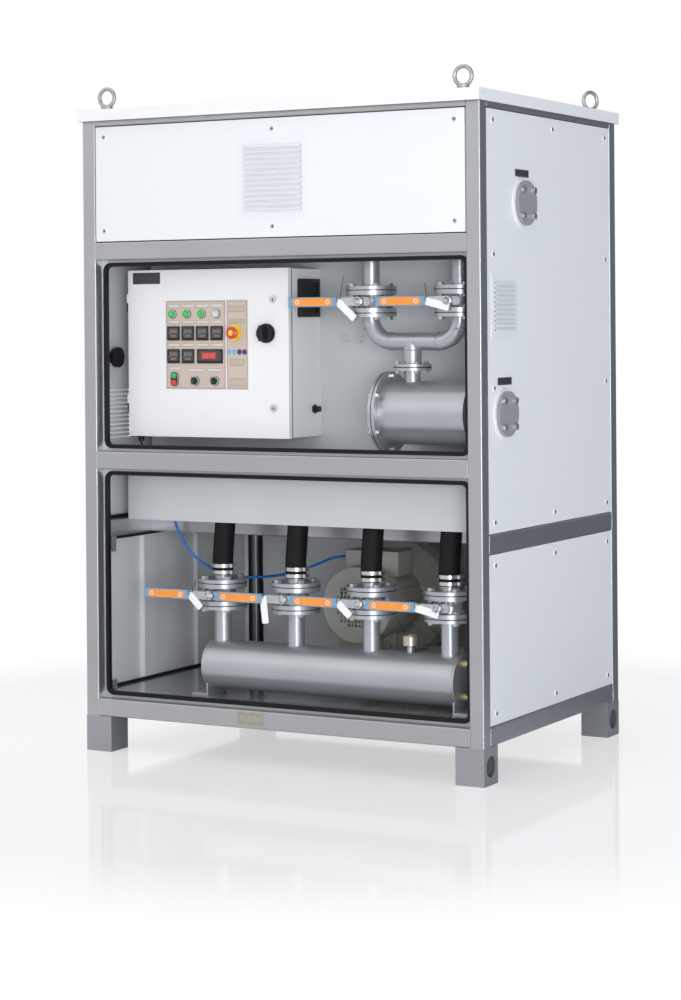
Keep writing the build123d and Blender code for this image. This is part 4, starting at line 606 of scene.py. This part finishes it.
# Merge doubles at the poles, drop collapsed faces, turn the faces outwards and smooth shallow edges
def tidyMesh(mesh, smooth):
    work = bmesh.new()
    work.from_mesh(mesh)
    bmesh.ops.remove_doubles(work, verts=work.verts, dist=2e-6)
    bmesh.ops.dissolve_degenerate(work, edges=work.edges, dist=1e-7)
    bmesh.ops.recalc_face_normals(work, faces=work.faces)
    for face in work.faces:
        face.smooth = True
    limit = math.radians(smooth)
    for edge in work.edges:
        edge.smooth = edge.calc_face_angle(math.pi) < limit
    work.to_mesh(mesh)
    work.free()


# One mesh from (finish, shape) parts, a shape being points in mm and faces; smooth is the widest soft angle
def addPiece(name, parts, body, smooth):
    lookNames, shapes = zip(*parts)
    points = np.concatenate([shape[0] for shape in shapes]) * mm
    starts = np.cumsum([0] + [len(shape[0]) for shape in shapes[:-1]])
    faces = np.concatenate([shape[1] + start for shape, start in zip(shapes, starts)])
    order = sorted(set(lookNames))
    looksPerFace = np.concatenate([np.full(len(shape[1]), order.index(look), np.int32)
                                   for look, shape in parts])
    mesh = bpy.data.meshes.new(name)
    mesh.vertices.add(len(points))
    mesh.vertices.foreach_set("co", points.astype(np.float32).ravel())
    mesh.loops.add(faces.size)
    mesh.loops.foreach_set("vertex_index", faces.astype(np.int32).ravel())
    mesh.polygons.add(len(faces))
    mesh.polygons.foreach_set("loop_start", np.arange(0, faces.size, 4, dtype=np.int32))
    mesh.polygons.foreach_set("loop_total", np.full(len(faces), 4, np.int32))
    for look in order:
        mesh.materials.append(looks[look])
    mesh.polygons.foreach_set("material_index", looksPerFace)
    mesh.update(calc_edges=True)
    mesh.validate()
    tidyMesh(mesh, smooth)
    obj = placed(name, mesh)
    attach(obj, body)
    print("stage: piece", name)


axisX, axisY, axisZ = np.eye(3)
frontFace = (axisX, axisZ, -axisY)  # u, v, w of a face that looks to the front
rightFace = (axisY, axisZ, axisX)


# Middle, lowest and highest corner of each loose part of a mesh, in millimetres: labels sink to the lowest
# vertex number that edges join them to
def looseParts(obj):
    mesh = obj.data
    places = np.empty(len(mesh.vertices) * 3, np.float32)
    mesh.vertices.foreach_get("co", places)
    places = places.reshape(-1, 3).astype(float) / mm
    keys = np.unique(np.round(places, 2), axis=0, return_inverse=True)[1].ravel()
    ends = np.empty(len(mesh.edges) * 2, np.int32)
    mesh.edges.foreach_get("vertices", ends)
    ends = keys[ends].reshape(-1, 2)
    label = np.arange(keys.max() + 1)
    while True:
        lower = np.minimum(label[ends[:, 0]], label[ends[:, 1]])
        sunk = label.copy()
        np.minimum.at(sunk, ends[:, 0], lower)
        np.minimum.at(sunk, ends[:, 1], lower)
        sunk = sunk[sunk]
        if (sunk == label).all():
            break
        label = sunk
    part = np.unique(label, return_inverse=True)[1].ravel()[keys]
    low = np.full((part.max() + 1, 3), np.inf)
    high = np.full((part.max() + 1, 3), -np.inf)
    np.minimum.at(low, part, places)
    np.maximum.at(high, part, places)
    return (low + high) / 2, low, high


# Hexagon sockets of the panel screws: (radius, height) profiles of the ring and of the dark hole, a disc of
# painted shade where the socket is recessed
screws = {"ring": ((0.001, 0.05), (3.87, 0.1), (4.5, 0.35), (6.075, 0.35), (7.2, 0.0)),
          "hole": ((0.001, 0.2), (2.79, 0.2), (2.79, 0.0))}


# A washer is thinnest along its axis, and its socket is on the end that is farther from the middle
def addScrewSockets(spec):
    parts = []
    middles, low, high = looseParts(nodes["panel_screws"])
    for middle, lowest, highest, flat in zip(middles, low, high, (high - low).argmin(1)):
        outward = 1 if middle[flat] > 0 else -1
        origin = middle.copy()
        origin[flat] = highest[flat] if outward > 0 else lowest[flat]
        axis = np.eye(3)[flat] * outward
        parts.append(("screwSteel", turnedShape(spec["ring"], origin, axis, axisZ, 12)))
        # the hole is a flat dark disc on the ring: painted shade in place of the socket's recess
        parts.append(("darkInside", turnedShape(spec["hole"], origin, axis, axisZ, 6)))
    addPiece("panelScrewHeads", parts, "cabinet", 30.0)


addScrewSockets(screws)


# Fine dark mesh just inside the panels, behind the slots of the louvres, its darkness also painted shade of
# the cabinet's inside: middle, width and height of each
meshes = {"front": ((0.0, -531.0, 1928.5), 222.0, 226.0), "right": ((731.0, -373.0, 1501.5), 156.0, 166.0),
          "edge": (3.0, 1.0, 0.2)}  # corner, thickness, bevel


# A plate with its middle on the panel's inner face, as wide and high as the slots' field
def addLouvreMeshShade(spec):
    parts = [("meshGrey", roundedPlate(centre, *face, wide, high, *spec["edge"]))
             for face, (centre, wide, high) in ((frontFace, spec["front"]), (rightFace, spec["right"]))]
    addPiece("louvreMeshShade", parts, "cabinet", 30.0)


addLouvreMeshShade(meshes)


# Blank plates: rating plate on the bottom rail with a border and rivets, tags by the ports, label on the door
plates = {"rating": (-98.0, -550.0, 153.0), "ratingSize": (104.0, 44.0), "ratingEdge": (2.0, 1.0, 0.25),
          "ratingBorder": (88.0, 30.0, 1.0, 0.25), "rivets": (45.0, 16.0),
          "rivet": ((2.6, 0.0), (2.2, 0.9), (1.2, 1.4), (0.001, 1.5)),
          "ports": ((748.0, -233.0, 1930.0), (748.0, -375.0, 1263.0)), "portSize": (105.0, 24.0),
          "portEdge": (1.5, 0.8, 0.2), "portBorder": (101.0, 20.0, 0.8, 0.2),
          "door": (-572.5, -430.0, 1608.5), "doorSize": (111.0, 39.0), "doorEdge": (2.0, 0.6, 0.2)}


# The rivets stand on the rating plate, one plate thickness out from its place
def addPlates(spec):
    parts = borderedPlate("plateMetal", spec["rating"], frontFace, spec["ratingSize"], spec["ratingEdge"],
                          "printBrown", spec["ratingBorder"])
    top = np.array(spec["rating"]) - spec["ratingEdge"][1] * axisY
    across, up = spec["rivets"]
    parts += inLook("screwSteel", [turnedShape(spec["rivet"], top + (u, 0, v), -axisY, axisX, 12)
                                   for u in (-across, across) for v in (-up, up)])
    for place in spec["ports"]:
        parts += borderedPlate("labelDark", place, rightFace, spec["portSize"], spec["portEdge"],
                               "plateMetal", spec["portBorder"])
    addPiece("blankPlates", parts, "cabinet", 30.0)
    label = roundedPlate(spec["door"], *frontFace, *spec["doorSize"], *spec["doorEdge"])
    addPiece("doorLabel", [("labelDark", label)], "door", 30.0)


addPlates(plates)


# Weld beads of the pipework: round ones as (x places, z places, way of the pipe, radius), and the saddles
# where the risers stand on the header
pipeWelds = {"y": -378.0, "bead": (2.2, 6, 0.16, 31), "points": 96, "saddle": (29.5, 82.5, 300.0),
             "risers": (-306.0, -21.0, 264.0, 549.0),
             "round": (((-306.0, -21.0, 264.0, 549.0), (489.5,), "up", 29.1),
                       ((272.0, 594.0), (1430.0, 1571.8), "up", 29.1),
                       ((348.0, 518.0), (1390.0,), "across", 28.7), ((421.0,), (1362.5,), "up", 30.4),
                       ((421.0,), (1317.5,), "up", 30.6), ((-336.0, 591.0), (300.0,), "across", 82.1),
                       ((348.2,), (1159.0,), "across", 103.6))}


# A saddle follows the header's round surface: its height over the header's middle is sqrt(R^2 - y^2)
def addPipeWelds(spec):
    shapes = []
    turn = np.linspace(0, 2 * np.pi, spec["points"], endpoint=False)
    radius, header, middle = spec["saddle"]
    y = radius * np.sin(turn)
    for x in spec["risers"]:
        z = middle + np.sqrt(header ** 2 - y ** 2)
        path = np.stack([x + radius * np.cos(turn), spec["y"] + y, z], -1)
        shapes.append(closedBead(path, *spec["bead"]))
    for places, heights, way, radius in spec["round"]:
        axis, side = (axisZ, axisX) if way == "up" else (axisX, axisZ)
        paths = [circlePath((x, spec["y"], z), axis, side, radius, spec["points"])
                 for x in places for z in heights]
        shapes += [closedBead(path, *spec["bead"]) for path in paths]
    addPiece("pipeWelds", inLook("silverPaint", shapes), "cabinet", 60.0)


addPipeWelds(pipeWelds)


# Weld beads where the rails meet the posts: lowest and highest level of each rail, the posts' inner planes
# and the frame's outer ones
frameWelds = {"front": ((120.0, 180.0), (961.0, 1021.0), (1671.0, 1731.0), (2125.5, 2141.0)),
              "side": ((120.0, 180.0), (722.0, 782.0), (2125.5, 2141.0)), "inner": (700.0, 500.0),
              "outer": (749.5, 549.5), "short": 3.0, "points": 24, "bead": (1.7, 6)}


# A bead runs straight up the joint, on the outer plane across the rail and the inner one along it
def addFrameWelds(spec):
    shapes = []
    for sign in (-1, 1):
        for levels, across in ((spec["front"], 1), (spec["side"], 0)):
            for low, high in levels:
                for face in (-1, 1):
                    path = np.empty((spec["points"], 3))
                    path[:, :2] = sign * np.array(spec["inner"])
                    path[:, across] = face * spec["outer"][across]
                    path[:, 2] = np.linspace(low + spec["short"], high - spec["short"], spec["points"])
                    shapes.append(openBead(path, *spec["bead"]))
    addPiece("frameWelds", inLook("framePaint", shapes), "cabinet", 60.0)


addFrameWelds(frameWelds)


# Lever grips: orange inlay with two plain rings, and a card over the tag, hung by a thin tie. Places are
# from the lever's pivot; each lever has its card's angle and length, and its tie's tail and lean
levers = {"inlay": (-165.0, -479.0), "inlaySize": (150.0, 26.0), "inlayEdge": (12.0, 0.7, 0.3),
          "rings": (-222.0, -108.0), "ring": (6.0, 32), "ringBead": (1.5, 6),
          "card": (-69.0, -474.6, -2.0), "cardBack": -12.0, "cardWidth": 25.0, "cardEdge": (6.0, 1.9, 0.3),
          "hole": 7.0, "holeLift": 2.6, "eyelet": ((3.6, -0.6), (3.4, 0.2), (2.0, 0.2), (1.8, -0.6)),
          "tie": (1.1, 6), "tieStart": ((0.0, 0.6, 0.0), (-2.0, -2.2, 9.0)),
          "tieRun": ((-66.0, 1.0, 10.0, 0.2, 0.0), (-64.0, 2.5, 17.0, 0.5, 0.2),
                     (-60.0, 3.0, 17.0, 1.0, 1.0)),
          "each": ((-42.0, 92.0, 66.0, 10.0), (-14.0, 92.0, 40.0, -16.0), (-45.0, 69.5, 30.0, 14.0),
                   (-84.0, 92.0, 44.0, -8.0), (-43.0, 69.5, 34.0, 12.0), (-13.0, 92.0, 26.0, 18.0))}


# The card lies along (cos, sin) of its angle; the tie's points move by shares of its lean and its tail
def addLeverDetails(spec):
    middle, front = spec["inlay"]
    for index, ((x, z), (degrees, length, tail, lean)) in enumerate(zip(leverPlaces, spec["each"]), 1):
        parts = [("inlayOrange", roundedPlate((x + middle, front, z), *frontFace, *spec["inlaySize"],
                                              *spec["inlayEdge"]))]
        for place in spec["rings"]:
            path = circlePath((x + place, front - spec["inlayEdge"][1], z), axisY, axisX, *spec["ring"])
            parts.append(("ringWhite", closedBead(path, *spec["ringBead"])))
        turn = math.radians(degrees)
        along = np.array([math.cos(turn), 0.0, math.sin(turn)])
        across = np.array([-math.sin(turn), 0.0, math.cos(turn)])
        start = np.array(spec["card"]) + (x, 0.0, z)
        centre = start + along * (spec["cardBack"] + length / 2)
        parts.append(("tagCard", roundedPlate(centre, along, across, -axisY, length, spec["cardWidth"],
                                              *spec["cardEdge"])))
        hole = start + along * (spec["cardBack"] + spec["hole"]) - axisY * spec["holeLift"]
        parts.append(("bandSteel", turnedShape(spec["eyelet"], hole, -axisY, axisX, 16)))
        tie = [hole + shift for shift in spec["tieStart"]]
        tie += [(x + dx + lean * leanShare, front + dy, z + dz + tail * tailShare)
                for dx, dy, dz, leanShare, tailShare in spec["tieRun"]]
        parts.append(("rubberBlack", openBead(smoothPath(tie), *spec["tie"])))
        addPiece("leverDetails_%d" % index, parts, "valve_lever_%d" % index, 35.0)


addLeverDetails(levers)


# Digits of the meters: two rows in a square meter, and one wide row in the long meter's red window. A row is
# its height over the meter's middle, the digits' height, their line and their pitch as a share of the height
meters = {"front": -434.6, "pitch": 57.5, "first": -462.0, "banks": ((1420.0, 4), (1342.5, 2)),
          "rows": ((7.0, 9.5, 1.3, 0.82), (-8.5, 7.0, 1.0, 0.82)), "digits": 4, "digitWide": 0.52,
          "digitEdge": (0.25, 0.08), "spot": (-15.0, -1.0),
          "spotShape": ((1.5, 0.0), (1.3, 0.5), (0.001, 0.6)), "wide": (-321.0, 1342.5),
          "wideRow": (2.0, 13.0, 1.7, 0.95), "window": (58.0, 22.0, 1.5, 0.3, 0.1)}


# A digit is seven bars: three across, at its bottom, middle and top, and four upright between them
def digitBars(x, front, z, high, line, spec):
    wide = high * spec["digitWide"]
    bars = [(0, dz, wide, line) for dz in (-high / 2, 0, high / 2)]
    bars += [(dx, dz, line, high / 2 - line) for dx in (-wide / 2, wide / 2) for dz in (-high / 4, high / 4)]
    return [roundedPlate((x + dx, front, z + dz), *frontFace, w, h, line * 0.2, *spec["digitEdge"])
            for dx, dz, w, h in bars]


# The digits stand evenly to both sides of the row's middle
def digitRow(x, front, z, row, spec):
    rise, high, line, pitch = row
    places = (np.arange(spec["digits"]) - (spec["digits"] - 1) / 2) * high * pitch
    return [bar for place in places for bar in digitBars(x + place, front, z + rise, high, line, spec)]


# The square meters stand one pitch apart in each bank
def addMeterDigits(spec):
    parts, front = [], spec["front"]
    places = [(spec["first"] + spec["pitch"] * index, z)
              for z, count in spec["banks"] for index in range(count)]
    for x, z in places:
        for row in spec["rows"]:
            parts += inLook("digitGrey", digitRow(x, front, z, row, spec))
        spot = (x + spec["spot"][0], front, z + spec["spot"][1])
        parts.append(("inlayOrange", turnedShape(spec["spotShape"], spot, -axisY, axisX, 12)))
    x, z = spec["wide"]
    window = roundedPlate((x, front, z + spec["wideRow"][0]), *frontFace, *spec["window"])
    parts.append(("displayRed", window))
    parts += inLook("digitLit", digitRow(x, front - spec["window"][3], z, spec["wideRow"], spec))
    addPiece("meterDigits", parts, "door", 30.0)


addMeterDigits(meters)


# Print on the overlay: borders and blank fields as (x, z, width, height), and the round stickers
overlay = {"front": doorFront - 1, "borderLine": (1.2, 0.12), "fieldEdge": (1.5, 0.1, 0.05),
           "fieldLine": (0.9, 0.1),
           "borders": ((-375.0, 1381.0, 232.0, 294.0), (-210.5, 1381.0, 77.0, 294.0)),
           "columns": (-462.0, -404.5, -347.0, -289.5),
           "rows": ((1513.0, 46.0, 12.0), (1459.0, 46.0, 10.0), (1381.0, 46.0, 10.0)),
           "low": ((-459.0, 1301.0, 50.0, 10.0), (-377.0, 1296.0, 62.0, 10.0), (-299.0, 1296.0, 62.0, 10.0)),
           "right": ((-210.5, 1501.0, 64.0, 20.0), (-210.5, 1459.0, 60.0, 13.0), (-210.5, 1322.0, 56.0, 22.0),
                     (-210.5, 1255.0, 60.0, 26.0)),
           "stickers": ((-244.0, "stickerBlue"), (-223.0, "stickerBlue"), (-202.0, "stickerViolet"),
                        (-182.0, "stickerViolet")), "stickerZ": 1357.0,
           "sticker": ((9.5, 0.0), (9.3, 0.3), (0.001, 0.3))}


# A field is a thin plate with four lines on it, all of them parallel to the overlay
def addOverlayPrint(spec):
    parts, front = [], spec["front"]
    for x, z, wide, high in spec["borders"]:
        parts += inLook("printBrown", frameLines((x, front, z), *frontFace, wide, high, *spec["borderLine"]))
    fields = [("labelCream", (x, *row)) for row in spec["rows"] for x in spec["columns"]]
    fields += inLook("labelCream", spec["low"]) + inLook("labelTan", spec["right"])
    for look, (x, z, wide, high) in fields:
        parts += borderedPlate(look, (x, front, z), frontFace, (wide, high), spec["fieldEdge"], "printBrown",
                               (wide, high, *spec["fieldLine"]))
    parts += [(look, turnedShape(spec["sticker"], (x, front, spec["stickerZ"]), -axisY, axisX, 32))
              for x, look in spec["stickers"]]
    addPiece("overlayPrint", parts, "door", 30.0)


addOverlayPrint(overlay)


# Bright collars round the selectors and lamps, each with a dark ring of painted shadow round it, a bright rim
# round the two push buttons, and the raised edge of the stop button's yellow ring
rims = {"front": doorFront - 1, "collar": ((15.4, 0.0), (15.4, 1.6), (14.7, 4.6), (13.2, 5.2), (12.8, 4.2)),
        "collarShadow": ((16.6, 0.0), (16.5, 0.6), (15.0, 0.7)), "selectors": ((-377.0, 1259.5), (-299.0, 1259.5)),
        "lamps": ((-467.0, 1485.5), (-409.0, 1485.5), (-350.5, 1485.5), (-292.5, 1485.5)),
        "push": (-459.0, 1265.0, 5.0), "pushOutline": (27.6, 51.6, 13.8, 16), "pushBead": (1.1, 8),
        "stopLift": 2.0, "stop": (27.0, 64), "stopBead": (1.0, 8)}


# Collars and their dark rings of painted shadow are turned about the control's middle; the rims are beads
# along outlines round it
def addControlRims(spec):
    parts, front = [], spec["front"]
    for x, z in spec["selectors"] + spec["lamps"]:
        parts.append(("chrome", turnedShape(spec["collar"], (x, front, z), -axisY, axisX, 48)))
        # dark ring just round the collar: painted shadow line under its edge
        parts.append(("rubberBlack", turnedShape(spec["collarShadow"], (x, front, z), -axisY, axisX, 48)))
    x, z, lift = spec["push"]
    outline = roundedOutline(*spec["pushOutline"])
    path = np.stack([x + outline[:, 0], np.full(len(outline), front - lift), z + outline[:, 1]], -1)
    parts.append(("chrome", closedBead(path, *spec["pushBead"])))
    x, z = estopPlace
    path = circlePath((x, front - spec["stopLift"], z), axisY, axisX, *spec["stop"])
    parts.append(("warnYellow", closedBead(path, *spec["stopBead"])))
    addPiece("controlRims", parts, "door", 40.0)


addControlRims(rims)


# Black edges of the gaskets between the flanges, also the painted shade of the gap between them: a thin ring
# round each, a little wider than its flanges
gaskets = {"pipe": 82.9, "branch": 62.9, "tank": 133.9, "branchX": 421.0, "near": 5.0,
           "section": ((-8.0, -1.5), (-0.3, -1.5), (0.0, -0.75), (0.0, 0.75), (-0.3, 1.5), (-8.0, 1.5))}


# A gasket is thinnest along its axis; the tank's lies across x, and the branch's stands at the branch
def addGasketEdgesAndGapShade(spec):
    shapes = []
    middles, low, high = looseParts(nodes["pipe_gaskets"])
    for middle, flat in zip(middles, (high - low).argmin(1)):
        atBranch = abs(middle[0] - spec["branchX"]) < spec["near"]
        radius = spec["tank"] if flat == 0 else spec["branch"] if atBranch else spec["pipe"]
        # the ring stands a little proud of the flanges: a dark line of painted shade where the flanges part
        profile = np.array(spec["section"]) + (radius, 0.0)
        shapes.append(turnedShape(profile, middle, np.eye(3)[flat], axisZ if flat == 0 else axisX, 72))
    addPiece("gasketEdgesAndGapShade", inLook("rubberBlack", shapes), "cabinet", 30.0)


addGasketEdgesAndGapShade(gaskets)


# Bright faces of the two door locks, each with a raised rim and a dark key slot, a plate of painted shade
locks = {"x": -70.0, "front": -434.0, "heights": {"door_lock_lower": 1170.0, "door_lock_upper": 1532.0},
         "face": ((13.6, -3.0), (13.6, 0.4), (12.9, 1.5), (11.2, 1.8), (9.6, 1.2), (9.3, 0.4), (5.0, 0.9),
                  (0.001, 1.1)), "slot": (3.2, 12.0, 1.4, 0.6, 0.1), "slotLift": 0.8}


# The face is turned about the lock's axis, and the slot is a thin dark plate on it, painted shade in place of
# a recess
def addLockFaces(spec):
    for body, z in spec["heights"].items():
        face = turnedShape(spec["face"], (spec["x"], spec["front"], z), -axisY, axisX, 48)
        slot = roundedPlate((spec["x"], spec["front"] - spec["slotLift"], z), *frontFace, *spec["slot"])
        addPiece("lockFace_" + body[-5:], [("chrome", face), ("darkInside", slot)], body, 35.0)


addLockFaces(locks)


# Rubber line along the box's front edge, where the door closes on it: a strip on the box's right side
boxSeal = {"middle": (-14.0, -405.25, 1352.5), "size": (5.5, 563.0), "edge": (1.0, 0.6, 0.2)}
boxStrip = roundedPlate(boxSeal["middle"], *rightFace, *boxSeal["size"], *boxSeal["edge"])
addPiece("boxSealEdge", [("rubberBlack", boxStrip)], "cabinet", 30.0)


# Gauge: white dial with long and short ticks, and a rolled rim
gauge = {"axis": (406.0, -378.0), "dialZ": 426.2, "dial": ((21.5, 0.0), (21.3, 0.25), (0.001, 0.3)),
         "ticks": 28, "first": -135.0, "sweep": 270.0, "long": 4.0, "short": 2.4, "longEvery": 3,
         "reach": 20.0, "tickLift": 0.3, "tick": (0.6, 0.1, 0.12, 0.04), "rimZ": 434.6, "rim": (24.6, 64),
         "rimBead": (2.0, 8)}


# The ticks' angles divide the sweep evenly, and each tick ends at the same reach from the middle
def addGaugeDial(spec):
    x, y = spec["axis"]
    parts = [("dialWhite", turnedShape(spec["dial"], (x, y, spec["dialZ"]), axisZ, axisX, 48))]
    for step in range(spec["ticks"]):
        turn = math.radians(spec["first"] + spec["sweep"] * step / (spec["ticks"] - 1))
        along = np.array([math.cos(turn), math.sin(turn), 0.0])
        length = spec["long"] if step % spec["longEvery"] == 0 else spec["short"]
        centre = np.array([x, y, spec["dialZ"] + spec["tickLift"]]) + along * (spec["reach"] - length / 2)
        tick = roundedPlate(centre, along, np.cross(axisZ, along), axisZ, length, *spec["tick"])
        parts.append(("rubberBlack", tick))
    path = circlePath((x, y, spec["rimZ"]), axisZ, axisX, *spec["rim"])
    parts.append(("gaugeCopper", closedBead(path, *spec["rimBead"])))
    addPiece("gaugeDial", parts, "cabinet", 35.0)


addGaugeDial(gauge)


# Fittings at the header's end: (radius, length) profiles of the yellow band and of the collar
fittings = {"places": ((599.0, -390.0, 357.0), (599.0, -390.0, 251.0)),
            "band": ((10.0, 6.0), (10.8, 6.3), (10.8, 13.7), (10.0, 14.0)),
            "collar": ((13.0, 0.0), (13.0, 3.5), (11.5, 5.0), (10.0, 5.0))}
addPiece("headerFittings", [(look, turnedShape(fittings[part], place, axisX, axisZ, 24))
                            for place in fittings["places"]
                            for look, part in (("warnYellow", "band"), ("silverPaint", "collar"))],
         "cabinet", 35.0)


# Free cords: the points of the CAD route in millimetres, and the coil of spare lead
lead = {"diameter": 6.5, "points": [
            (-628.0, -386.0, 1049.0), (-628.0, -386.0, 1037.0), (-620.0, -384.0, 1024.5),
            (-606.0, -370.0, 1019.0), (-594.0, -350.0, 1019.5), (-584.0, -326.0, 1022.0),
            (-581.25, -302.0, 1025.0)],
        "centre": (-498.0, -300.0), "shelf": 1012.0, "gap": 0.3, "outer": 76.0, "pitch": 7.0, "turnsLow": 3,
        "turnsHigh": 2, "perTurn": 16, "climb": 3, "landing": 2}
motorCable = {"diameter": 9.0, "points": [
    (-596.0, -252.0, 1010.0), (-596.0, -252.0, 880.0), (-594.0, -247.0, 790.0), (-560.0, -238.0, 694.0),
    (-496.0, -214.0, 612.0), (-400.0, -140.0, 562.0), (-292.0, -20.0, 562.0), (-216.0, 88.0, 590.0),
    (-174.0, 171.52, 622.0), (-124.0, 171.52, 622.0)]}


# Flat spiral inwards on the shelf, then one outwards on top of it; the radius changes evenly with the turn,
# and the height climbs by one pitch within a share of a turn and lands from the route within the first
def coilPoints(spec):
    low, high, per = spec["turnsLow"], spec["turnsHigh"], spec["perTurn"]
    turns = np.arange(1, (low + high) * per + 1) / per
    inward = spec["outer"] - spec["pitch"] * np.minimum(turns, low)
    radius = inward + spec["pitch"] * np.maximum(turns - low, 0)
    angle = np.pi - 2 * np.pi * turns
    bottom = spec["shelf"] + spec["diameter"] / 2 + spec["gap"]
    height = bottom + spec["pitch"] * np.clip((turns - low) * spec["climb"], 0, 1)
    height += (spec["points"][-1][2] - bottom) * np.clip(1 - turns * spec["landing"], 0, 1)
    x, y = spec["centre"]
    return np.stack([x + radius * np.cos(angle), y + radius * np.sin(angle), height], -1)


# Smooth spline of order 3 through its control points, with a round section
def addCord(name, points, diameter, look, body):
    curve = bpy.data.curves.new(name, "CURVE")
    curve.dimensions = "3D"
    curve.bevel_depth = diameter / 2 * mm
    curve.bevel_resolution = 3
    curve.resolution_u = 6
    curve.use_fill_caps = True
    spline = curve.splines.new("NURBS")
    spline.points.add(len(points) - 1)
    flat = np.ones((len(points), 4), np.float32)
    flat[:, :3] = np.asarray(points) * mm
    spline.points.foreach_set("co", flat.ravel())
    spline.order_u = 3
    spline.use_endpoint_u = True
    curve.materials.append(looks[look])
    obj = placed(name, curve)
    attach(obj, body)
    return obj


leadRoute = np.concatenate([np.array(lead["points"]), coilPoints(lead)])
leadCord = addCord("controlLead", leadRoute, lead["diameter"], "leadBlack", "cabinet")
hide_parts("control_lead", "control_lead_coil")
motorCord = addCord("motorCable", motorCable["points"], motorCable["diameter"], "cableBlue", "cabinet")
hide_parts("motor_cable")


# Length of a clamped uniform quadratic B-spline, summed along samples between its knots
def splineLength(points):
    points = np.asarray(points, float)
    middles = (points[1:-2] + points[2:-1]) / 2
    starts = np.concatenate([points[:1], middles])
    ends = np.concatenate([middles, points[-1:]])
    t = np.linspace(0, 1, 33)[None, :, None]
    arcs = (1 - t) ** 2 * starts[:, None] + 2 * t * (1 - t) * points[1:-1][:, None] + t ** 2 * ends[:, None]
    return float(np.linalg.norm(np.diff(arcs, axis=1), axis=2).sum()) * mm


print("stage: cords, lead", round(splineLength(leadRoute), 3), "m, motor cable",
      round(splineLength(motorCable["points"]), 3), "m")
